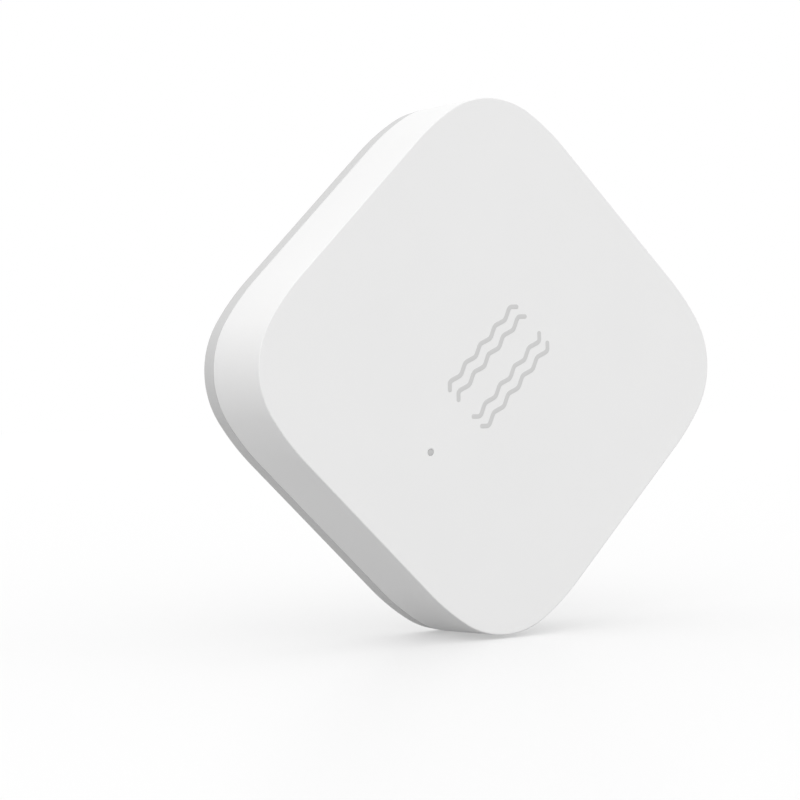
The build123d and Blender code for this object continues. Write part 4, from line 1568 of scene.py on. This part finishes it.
# %% Mould the switch case
case_low, case_high = bench_box("switch_body")
pin_low, pin_high = bench_box("switch_plunger")
dome_low, dome_high = bench_box("switch_dome")
lid_low, lid_high = bench_box("switch_cover")
chamber_half, case_wall, case_floor = 1.5, 0.6, 0.3
pin_half, pin_clearance, pin_head_length = 0.8, 0.06, 0.5
channel_overrun = 0.2
chamber = bar(
    (-chamber_half, dome_low[1], case_low[2] + case_floor),
    (chamber_half, case_high[1] - case_wall, case_high[2] + overrun),
)
channel_start = case_high[1] - case_wall - channel_overrun
channel = bar(
    (-pin_half - pin_clearance, channel_start, pin_low[2] - pin_clearance),
    (pin_half + pin_clearance, case_high[1] + overrun, case_high[2] + overrun),
)
switch_case = build("switch_case", bar(case_low, case_high, eased))
carve(switch_case, build("chamber", chamber), build("channel", channel))
dress(switch_case, "sensor_body", "switch_plastic", "switch_body")

# %% Fold the lid
lid_leg_half = 0.5
lid_middle = (lid_low[1] + lid_high[1]) / 2
lid_plate = bar((lid_low[0], lid_low[1], case_high[2]), lid_high, crisp)
lid_thickness = lid_high[2] - case_high[2]
lid_legs = [
    bar(
        (x, lid_middle - lid_leg_half, lid_low[2]),
        (x + lid_thickness, lid_middle + lid_leg_half, lid_high[2] - crisp),
        crisp,
    )
    for x in (lid_low[0], lid_high[0] - lid_thickness)
]
switch_lid = joined(build("switch_lid", lid_plate), build("lid_legs", *lid_legs))
dress(switch_lid, "sensor_body", "spring_steel", "switch_cover")

# %% [markdown]
# The snap dome is what clicks. It is a thin shallow cap of spring steel, turned on the plunger's
# axis. The plunger is a pin with a wider head, and it moves with the button, so it rides on its
# own body.

# %% Dome and plunger
dome_radius = dome_high[0]
dome_top_radius = 0.25
dome_rim_edge, dome_top_edge = 0.02, 0.12
pin_step = 0.01
dome_depth = dome_high[1] - dome_low[1]
dome_rows = rounded(
    [(0, 0), (dome_radius, 0), (dome_top_radius, dome_depth), (0, dome_depth)],
    [dome_rim_edge, dome_top_edge],
)
snap = to_top_wall(skin(turned(dome_rows, (0, 0))), button_level)
snap_dome = build("snap_dome", (snap[0] + [0, dome_low[1], 0], snap[1]))
dress(snap_dome, "sensor_body", "spring_steel", "switch_dome")

pin_start = pin_low[1] + pin_head_length / 2
pin_foot, pin_crown = pin_low[2] + pin_step, pin_high[2] - pin_step
pin = bar((-pin_half, pin_start, pin_foot), (pin_half, pin_high[1], pin_crown), eased)
pin_head = bar(pin_low, (pin_high[0], pin_low[1] + pin_head_length, pin_high[2]), crisp)
plunger_pin = joined(build("plunger_pin", pin), build("pin_head", pin_head))
dress(plunger_pin, "plunger", "plunger_plastic", "switch_plunger")

# %% [markdown]
# ## Lamp
# The lamp under the light pipe is a chip 1.6 mm long: a flat base with a clear cast lens on it.

# %% Cast the lamp
lamp_low, lamp_high = bench_box("status_lamp")
lamp_base_height, lens_half = 0.25, 0.55
lens_step, lens_root = 0.02, 0.1
lamp_base = bar(lamp_low, (lamp_high[0], lamp_high[1], lamp_low[2] + lamp_base_height), crisp)
lens_low = (-lens_half, lamp_low[1] + lens_step, lamp_low[2] + lens_root)
lens = bar(lens_low, (lens_half, lamp_high[1] - lens_step, lamp_high[2]), eased)
lamp_body = joined(build("lamp_body", lamp_base), build("lens", lens))
dress(lamp_body, "sensor_body", "lamp_white", "status_lamp")

# %% [markdown]
# ## Finishes
# No surface of the real tag is one flat colour. Moulded plastic has a fine matt grain and faint
# clouds where the melt cooled unevenly, foam has cells, steel has drawn lines, and a circuit
# board has tracks under its green coat. All of it is worked out in object space, in millimetres,
# and on the tag's own directions, so that the scale is real and nothing slides when a piece
# moves.


# %% Start a finish
def finish(name, roughness, metallic=0.0, specular=0.5):
    """An empty finish with its tree and its shader, and object points in millimetres."""
    material = bpy.data.materials.new(name)
    tree, output = node_tree(material)
    shader = add(tree, "BsdfPrincipled", Metallic=metallic, Roughness=roughness)
    shader.inputs["Specular IOR Level"].default_value = specular
    tree.links.new(shader.outputs[0], output.inputs["Surface"])
    place = add(tree, "TexCoord").outputs["Object"]
    scaled = add(tree, "Mapping", Vector=place)
    scaled.inputs["Scale"].default_value = (1 / MM, 1 / MM, 1 / MM)
    scaled.inputs["Rotation"].default_value = (0, -pi / 4, 0)
    return material, tree, shader, scaled.outputs[0]


def noise(tree, points, size, detail=2.0):
    """A noise value of about 0 to 1 whose blotches are about size millimetres wide."""
    return add(tree, "TexNoise", Vector=points, Scale=1 / size, Detail=detail).outputs[0]


# %% Colour and grain from a value
def tint(tree, value, dark, light):
    """A colour between two others, chosen by a value from 0 to 1. Each may also be a socket."""
    dark, light = ((*side, 1) if isinstance(side, tuple) else side for side in (dark, light))
    return add(tree, "Mix", {"data_type": "RGBA"}, i0=value, i6=dark, i7=light).outputs[2]


def either(tree, test, if_not, if_so):
    """One of two numbers, the second where the test is 1."""
    return add(tree, "Mix", {"data_type": "FLOAT"}, i0=test, i2=if_not, i3=if_so).outputs[0]


def uneven_gloss(tree, shader, value, spread, middle):
    """A roughness that follows a value from 0 to 1, spread evenly about its middle."""
    rough = maths(tree, "MULTIPLY_ADD", value, spread, middle - spread / 2)
    tree.links.new(rough, shader.inputs["Roughness"])


def bump(tree, shader, height, depth):
    """Grain in the shader's normal. The depth is in millimetres."""
    node = add(tree, "Bump", Strength=1.0, Distance=depth * MM, Height=height)
    tree.links.new(node.outputs[0], shader.inputs["Normal"])


def grey(level, warm=0.0):
    """A grey, a little warmer or colder."""
    return (level * (1 + warm), level, level * (1 - warm))


# %% [markdown]
# Moulded plastic takes its matt look from the mould, whose steel is etched by sparks. The grain
# is a fine noise that drives both the bump and the roughness, so the raised spots also shine
# differently. A second, wide noise shifts the colour by a percent or so.

# %% Moulded plastic
cloud_size = 9.0
grain_detail = 3.0
plastic_gloss_range = 0.16


def moulded(name, colour, cloud=0.012, roughness=0.5, grain=0.12, depth=0.0015, specular=0.35):
    """Matt moulded plastic: a fine spark-eroded grain and faint clouds."""
    material, tree, shader, points = finish(name, roughness, specular=specular)
    clouds = noise(tree, points, cloud_size)
    dark = tuple(c * (1 - cloud) for c in colour)
    light = tuple(c * (1 + cloud) for c in colour)
    tree.links.new(tint(tree, clouds, dark, light), shader.inputs["Base Color"])
    fine = noise(tree, points, grain, grain_detail)
    uneven_gloss(tree, shader, fine, plastic_gloss_range, roughness)
    bump(tree, shader, fine, depth)
    return material


# %% [markdown]
# Foam is a pack of bubbles cut open. A cell pattern gives each bubble's distance from its middle,
# which is both its depth and a painted shade that darkens its hollow middle.

# %% Foam
foam_roughness, foam_specular = 0.9, 0.15
# How dark each foam cell's hollow middle is painted, as shade.
painted_hollow_shade = 0.72
cell_weight, blotch_weight, blotch_size = 0.9, 0.25, 3.0


def foam(name, colour, cell, depth):
    """Closed-cell foam: round cells with painted shade in their hollows."""
    material, tree, shader, points = finish(name, foam_roughness, specular=foam_specular)
    cells = add(tree, "TexVoronoi", Vector=points, Scale=1 / cell).outputs["Distance"]
    # The hollow middle of each cell is darkened here: painted shade.
    dark = tuple(c * painted_hollow_shade for c in colour)
    cell_share = maths(tree, "MULTIPLY", cells, cell_weight)
    blotches = noise(tree, points, blotch_size)
    spread = maths(tree, "MULTIPLY_ADD", blotches, blotch_weight, cell_share)
    tree.links.new(tint(tree, spread, dark, colour), shader.inputs["Base Color"])
    bump(tree, shader, cells, depth)
    return material


# %% [markdown]
# Rolled steel has fine lines along the rolling, which a noise stretched far along one direction
# gives. Where a cup was drawn over a round tool, as at the cell's rim, the lines run round it, so
# there the noise reads the distance from the axis and the level instead.

# %% Steel
line_shade = 0.88
steel_gloss_range = 0.2
rings_per_mm = 6.0


def from_axis(tree, points):
    """The distance from the tag's axis, and the level above the tape's back, in millimetres."""
    split = add(tree, "SeparateXYZ", Vector=points)
    across, along = split.outputs["X"], split.outputs["Z"]
    square = maths(tree, "MULTIPLY_ADD", across, across, maths(tree, "MULTIPLY", along, along))
    return maths(tree, "SQRT", square), maths(tree, "MULTIPLY", split.outputs["Y"], -1.0)


def steel(name, colour, roughness, drawn=(0.03, 2.5), depth=0.001, rim=None):
    """Rolled or drawn metal: fine lines one way, with uneven gloss.

    Beyond the rim's radius the metal was drawn over a round tool, so its lines are rings instead.
    """
    material, tree, shader, points = finish(name, roughness, metallic=1.0)
    stretch = add(tree, "Mapping", Vector=points)
    stretch.inputs["Scale"].default_value = (1 / drawn[0], 1 / drawn[1], 1 / drawn[1])
    lines = add(tree, "TexNoise", Vector=stretch.outputs[0], Scale=1.0, Detail=2.0).outputs[0]
    if rim:
        radius, level = from_axis(tree, points)
        ring_place = add(tree, "CombineXYZ", X=radius, Y=level).outputs[0]
        rings = add(tree, "TexNoise", Vector=ring_place, Scale=rings_per_mm, Detail=1.0).outputs[0]
        lines = either(tree, maths(tree, "GREATER_THAN", radius, rim), lines, rings)
    dark = tuple(c * line_shade for c in colour)
    tree.links.new(tint(tree, lines, dark, colour), shader.inputs["Base Color"])
    uneven_gloss(tree, shader, lines, steel_gloss_range, roughness)
    bump(tree, shader, lines, depth)
    return material


# %% [markdown]
# The shell is a clean white with the finest grain, the base a light warm grey. The mark is a thin
# grey ink, a little smoother than the plastic round it. Plastics inside the tag are near black, so
# that no light leaks from the lamp.

# %% Plastics and ink
shell_white = moulded("shell_white", grey(0.83, 0.001), grain=0.10)
base_grey = moulded("base_grey", grey(0.6, 0.001), roughness=0.55)
button_white = moulded("button_white", grey(0.80), roughness=0.42)
ink_grey = moulded(
    "ink_grey", grey(0.62, 0.002), cloud=0.02, roughness=0.4, grain=0.05, depth=0.0008
)
holder_plastic = moulded("holder_plastic", grey(0.028), roughness=0.45)
switch_plastic = moulded("switch_plastic", grey(0.05), roughness=0.4)
plunger_plastic = moulded("plunger_plastic", grey(0.6, 0.02), roughness=0.4)
seal_plastic = moulded("seal_plastic", grey(0.12), roughness=0.4)
pipe_smoke = moulded(
    "pipe_smoke", grey(0.52), cloud=0.05, roughness=0.2, depth=0.0003, specular=0.5
)

print("shell is", shell_white.name, "and base is", base_grey.name)

# %% [markdown]
# The tape's foam is a pale grey with fine cells, the rattle pad's a dark one with coarse cells.
# Paper and pressed powder are only matt and uneven, which the plastic helper gives with a rougher
# grain.

# %% Foams, paper and cell fillings
tape_foam = foam("tape_foam", grey(0.55), 0.22, 0.03)
pad_foam = foam("pad_foam", grey(0.10), 0.35, 0.05)
separator_paper = moulded(
    "separator_paper", grey(0.75, 0.01), cloud=0.05, roughness=0.85, grain=0.08, depth=0.004
)
cathode_powder = moulded(
    "cathode_powder", grey(0.02), cloud=0.3, roughness=0.8, grain=0.05, depth=0.004
)

print("foams:", tape_foam.name, "and", pad_foam.name)

# %% [markdown]
# The metals differ in colour, gloss and the direction and width of their lines: springs are
# rolled strip, screws are turned, the shield can is tinned, the pads are gilded, and the cell's
# filling is a soft dull metal.

# %% Metals
spring_steel = steel("spring_steel", (0.62, 0.60, 0.56), 0.32)
screw_steel = steel("screw_steel", (0.55, 0.55, 0.56), 0.3, drawn=(0.08, 0.4))
cell_steel = steel(
    "cell_steel", (0.70, 0.70, 0.69), 0.3, drawn=(0.06, 4.0), depth=0.0006, rim=cap_radius
)
tin_plate = steel("tin_plate", (0.70, 0.70, 0.70), 0.35, drawn=(0.2, 0.3))
gold_plate = steel("gold_plate", (0.83, 0.62, 0.28), 0.28, drawn=(0.1, 0.1))
soft_metal = steel("soft_metal", (0.42, 0.42, 0.43), 0.5, drawn=(0.3, 0.3))
print("the cell's rim has rings beyond", round(cap_radius, 2), "mm")

# %% [markdown]
# ## Circuit boards
# A solder mask is a thin green or blue coat, lighter where copper lies under it. The tracks are
# bands that repeat at their pitch, and a coarse cell pattern chooses which way they run, or that
# there are none. Vias are small tinned rings round a hole painted near black, as the shade inside
# it. The board's edge has no coat, so the yellowish glass fibre shows there. Everything is on the
# board's own directions, so tracks follow its edges.

# %% Measures of the tracks, vias and fibre
patch_pitches = 3.4
patch_disorder = 0.85
track_half_share = 0.17
bare_chance = 0.35
via_pitches = 2.9
undrilled_chance = 0.6
via_ring = 0.34
via_hole = 0.15
# The colour of a via's hole: painted shade, since the board has no real hole there.
painted_hole_shade = (0.02, 0.02, 0.02)
coat_roughness = 0.34
fibre_roughness_more = 0.4
copper_relief = 0.03
layers_per_mm = 6.0
weave_size = 0.6
fibre_light = (0.38, 0.34, 0.17)
fibre_dark = (0.24, 0.21, 0.09)
tinned = (0.60, 0.57, 0.47)
print("vias", 2 * via_ring, "mm wide round a hole of", 2 * via_hole, "mm")


# %% Board finish
def board_coat(name, node, bare, copper, track_pitch=1.1):
    """Solder mask over copper tracks, with vias, and bare glass fibre at the edge."""
    low, high = bench_box(node)
    material, tree, shader, points = finish(name, coat_roughness)
    split = add(tree, "SeparateXYZ", Vector=points)
    level = maths(tree, "MULTIPLY", split.outputs["Y"], -1.0)
    flat = add(tree, "CombineXYZ", X=split.outputs["X"], Y=split.outputs["Z"]).outputs[0]

    patch = patch_pitches * track_pitch
    square_cells = {"voronoi_dimensions": "2D", "distance": "CHEBYCHEV"}
    patches = add(
        tree, "TexVoronoi", square_cells, Vector=flat, Scale=1 / patch, Randomness=patch_disorder
    )
    chance = add(tree, "SeparateXYZ", Vector=patches.outputs["Color"])
    turns = [maths(tree, "MULTIPLY", split.outputs[axis], 1 / track_pitch) for axis in ("X", "Z")]
    across, along = (maths(tree, "PINGPONG", turn, 0.5) for turn in turns)
    chosen = either(tree, maths(tree, "GREATER_THAN", chance.outputs[0], 0.5), across, along)
    tracks = maths(tree, "LESS_THAN", chosen, track_half_share)
    coppered = maths(tree, "GREATER_THAN", chance.outputs[1], bare_chance)
    copper_here = maths(tree, "MULTIPLY", tracks, coppered)

    spacing = via_pitches * track_pitch
    drills = add(tree, "TexVoronoi", {"voronoi_dimensions": "2D"}, Vector=flat, Scale=1 / spacing)
    from_hole = maths(tree, "MULTIPLY", drills.outputs["Distance"], spacing)
    lot = add(tree, "SeparateXYZ", Vector=drills.outputs["Color"]).outputs[2]
    drilled = maths(tree, "GREATER_THAN", lot, undrilled_chance)
    ring, hole = (
        maths(tree, "MULTIPLY", maths(tree, "LESS_THAN", from_hole, radius), drilled)
        for radius in (via_ring, via_hole)
    )

    above_low = maths(tree, "GREATER_THAN", level, float(low[2]) + board_edge / 2)
    below_high = maths(tree, "LESS_THAN", level, float(high[2]) - board_edge / 2)
    side = maths(tree, "MULTIPLY", above_low, below_high)
    layers = maths(tree, "MULTIPLY", level, layers_per_mm)
    weave = add(tree, "CombineXYZ", X=layers, Y=split.outputs["X"], Z=split.outputs["Z"]).outputs[0]
    fibre = tint(tree, noise(tree, weave, weave_size), fibre_dark, fibre_light)

    colour = tint(tree, copper_here, bare, copper)
    # A via's hole is painted near black as the shade inside it.
    for here, layer in ((ring, tinned), (hole, painted_hole_shade), (side, fibre)):
        colour = tint(tree, here, colour, layer)
    tree.links.new(colour, shader.inputs["Base Color"])
    rough = maths(tree, "MULTIPLY_ADD", side, fibre_roughness_more, coat_roughness)
    tree.links.new(rough, shader.inputs["Roughness"])
    raised = maths(tree, "MAXIMUM", copper_here, ring)
    bump(tree, shader, maths(tree, "SUBTRACT", raised, hole), copper_relief)
    return material


# %% The two boards' finishes
mask_green, green_copper = (0.010, 0.105, 0.038), (0.020, 0.170, 0.062)
mask_blue, blue_copper = (0.008, 0.035, 0.12), (0.018, 0.075, 0.22)
board_green = board_coat("board_green", "circuit_board", mask_green, green_copper)
radio_blue = board_coat("radio_blue", "radio_board", mask_blue, blue_copper, track_pitch=0.8)
print("boards:", board_green.name, "and", radio_blue.name)

# %% [markdown]
# ## Chips and chip parts
# A moulded chip is near black and slightly sparkly, with no print on it here, and its feet are
# tinned. Chip resistors and capacitors are a fired body with a tinned cap at each end. The caps
# repeat at the parts' pitch, so the finish finds them from the distance along the row.

# %% Chip finishes
solder_tin = (0.72, 0.72, 0.70)
fired_grain, fired_shade, fired_relief = 0.15, 0.85, 0.004
foot_overlap = 0.02
moulded_black = grey(0.022)
chip_black = moulded(
    "chip_black", moulded_black, cloud=0.15, roughness=0.55, grain=0.06, depth=0.003
)
lamp_lens = moulded("lamp_lens", (0.85, 0.84, 0.74), roughness=0.25, grain=0.3, depth=0.0005)


def part_tinned(name, body, roughness, middle_of):
    """A fired or moulded body with tinned metal wherever middle_of(tree, x, y) is not 1."""
    material, tree, shader, points = finish(name, roughness)
    split = add(tree, "SeparateXYZ", Vector=points)
    middle = middle_of(tree, split.outputs["X"], split.outputs["Z"])
    grain = noise(tree, points, fired_grain)
    fired = tint(tree, grain, tuple(c * fired_shade for c in body), body)
    tree.links.new(tint(tree, middle, solder_tin, fired), shader.inputs["Base Color"])
    tree.links.new(maths(tree, "SUBTRACT", 1.0, middle), shader.inputs["Metallic"])
    bump(tree, shader, grain, fired_relief)
    return material


def between(tree, value, low, high):
    """1 where the value lies between low and high, else 0."""
    past = maths(tree, "GREATER_THAN", value, float(low))
    return maths(tree, "MULTIPLY", past, maths(tree, "LESS_THAN", value, float(high)))


def row_parts(name, node, body, roughness):
    """A row of chip parts: body colour between two tinned caps on each part."""
    start = float(bench_box(node)[0][0])

    def middle(tree, x, y):
        along = maths(tree, "MODULO", maths(tree, "SUBTRACT", x, start), part_pitch)
        return between(tree, along, end_length, part_length - end_length)

    return part_tinned(name, body, roughness, middle)


def leaded(name, node):
    """A moulded chip whose two rows of feet are tinned."""
    low, high = bench_box(node)
    start, end = low[1] + lead_length - foot_overlap, high[1] - lead_length + foot_overlap

    def middle(tree, x, y):
        return between(tree, y, start, end)

    return part_tinned(name, moulded_black, 0.5, middle)


capacitor_tan = row_parts("capacitor_tan", "capacitors", (0.42, 0.27, 0.14), 0.45)
resistor_black = row_parts("resistor_black", "resistors", (0.02, 0.02, 0.022), 0.4)
store_black = leaded("store_black", "memory_chip")
regulator_black = leaded("regulator_black", "voltage_regulator")

tinned_parts = (capacitor_tan, resistor_black, store_black, regulator_black)
print("tinned parts:", *[part.name for part in tinned_parts])

# %% [markdown]
# ## Put the finishes on
# A finish belongs in the material slot of a piece's mesh. One table names each finish's pieces, so
# that it is easy to see what is made of what.

# %% Put the finishes on
finishes = {
    shell_white: ["front_shell"],
    base_grey: ["rear_shell"],
    button_white: ["nail_button"],
    ink_grey: ["vibration_strokes"],
    pipe_smoke: ["pipe_pin"],
    tape_foam: ["foam_tape"],
    pad_foam: ["rattle_pad"],
    board_green: ["main_board"],
    radio_blue: ["daughter_board"],
    gold_plate: ["probe_pads", "printed_aerial"],
    tin_plate: ["shield_can", "radio_timing_crystal", "clock_quartz"],
    spring_steel: ["switch_lid", "snap_dome", "plus_contact", "minus_contact"],
    screw_steel: ["case_screws"],
    cell_steel: ["cell_can", "cell_cap"],
    chip_black: ["radio_processor", "motion_chip", "tantalum_block"],
    store_black: ["store_chip"],
    regulator_black: ["regulator_chip"],
    lamp_lens: ["lamp_body"],
    capacitor_tan: ["ceramic_capacitors"],
    resistor_black: ["chip_resistors"],
    switch_plastic: ["switch_case"],
    plunger_plastic: ["plunger_pin"],
    holder_plastic: ["cell_holder"],
    seal_plastic: ["cell_seal"],
    cathode_powder: ["cell_cathode"],
    separator_paper: ["cell_separator"],
    soft_metal: ["cell_anode"],
}
for material, names in finishes.items():
    for name in names:
        piece = bpy.data.objects[name]
        piece.data.materials.clear()
        piece.data.materials.append(material)
print(len(finishes), "finishes on", sum(len(names) for names in finishes.values()), "pieces")
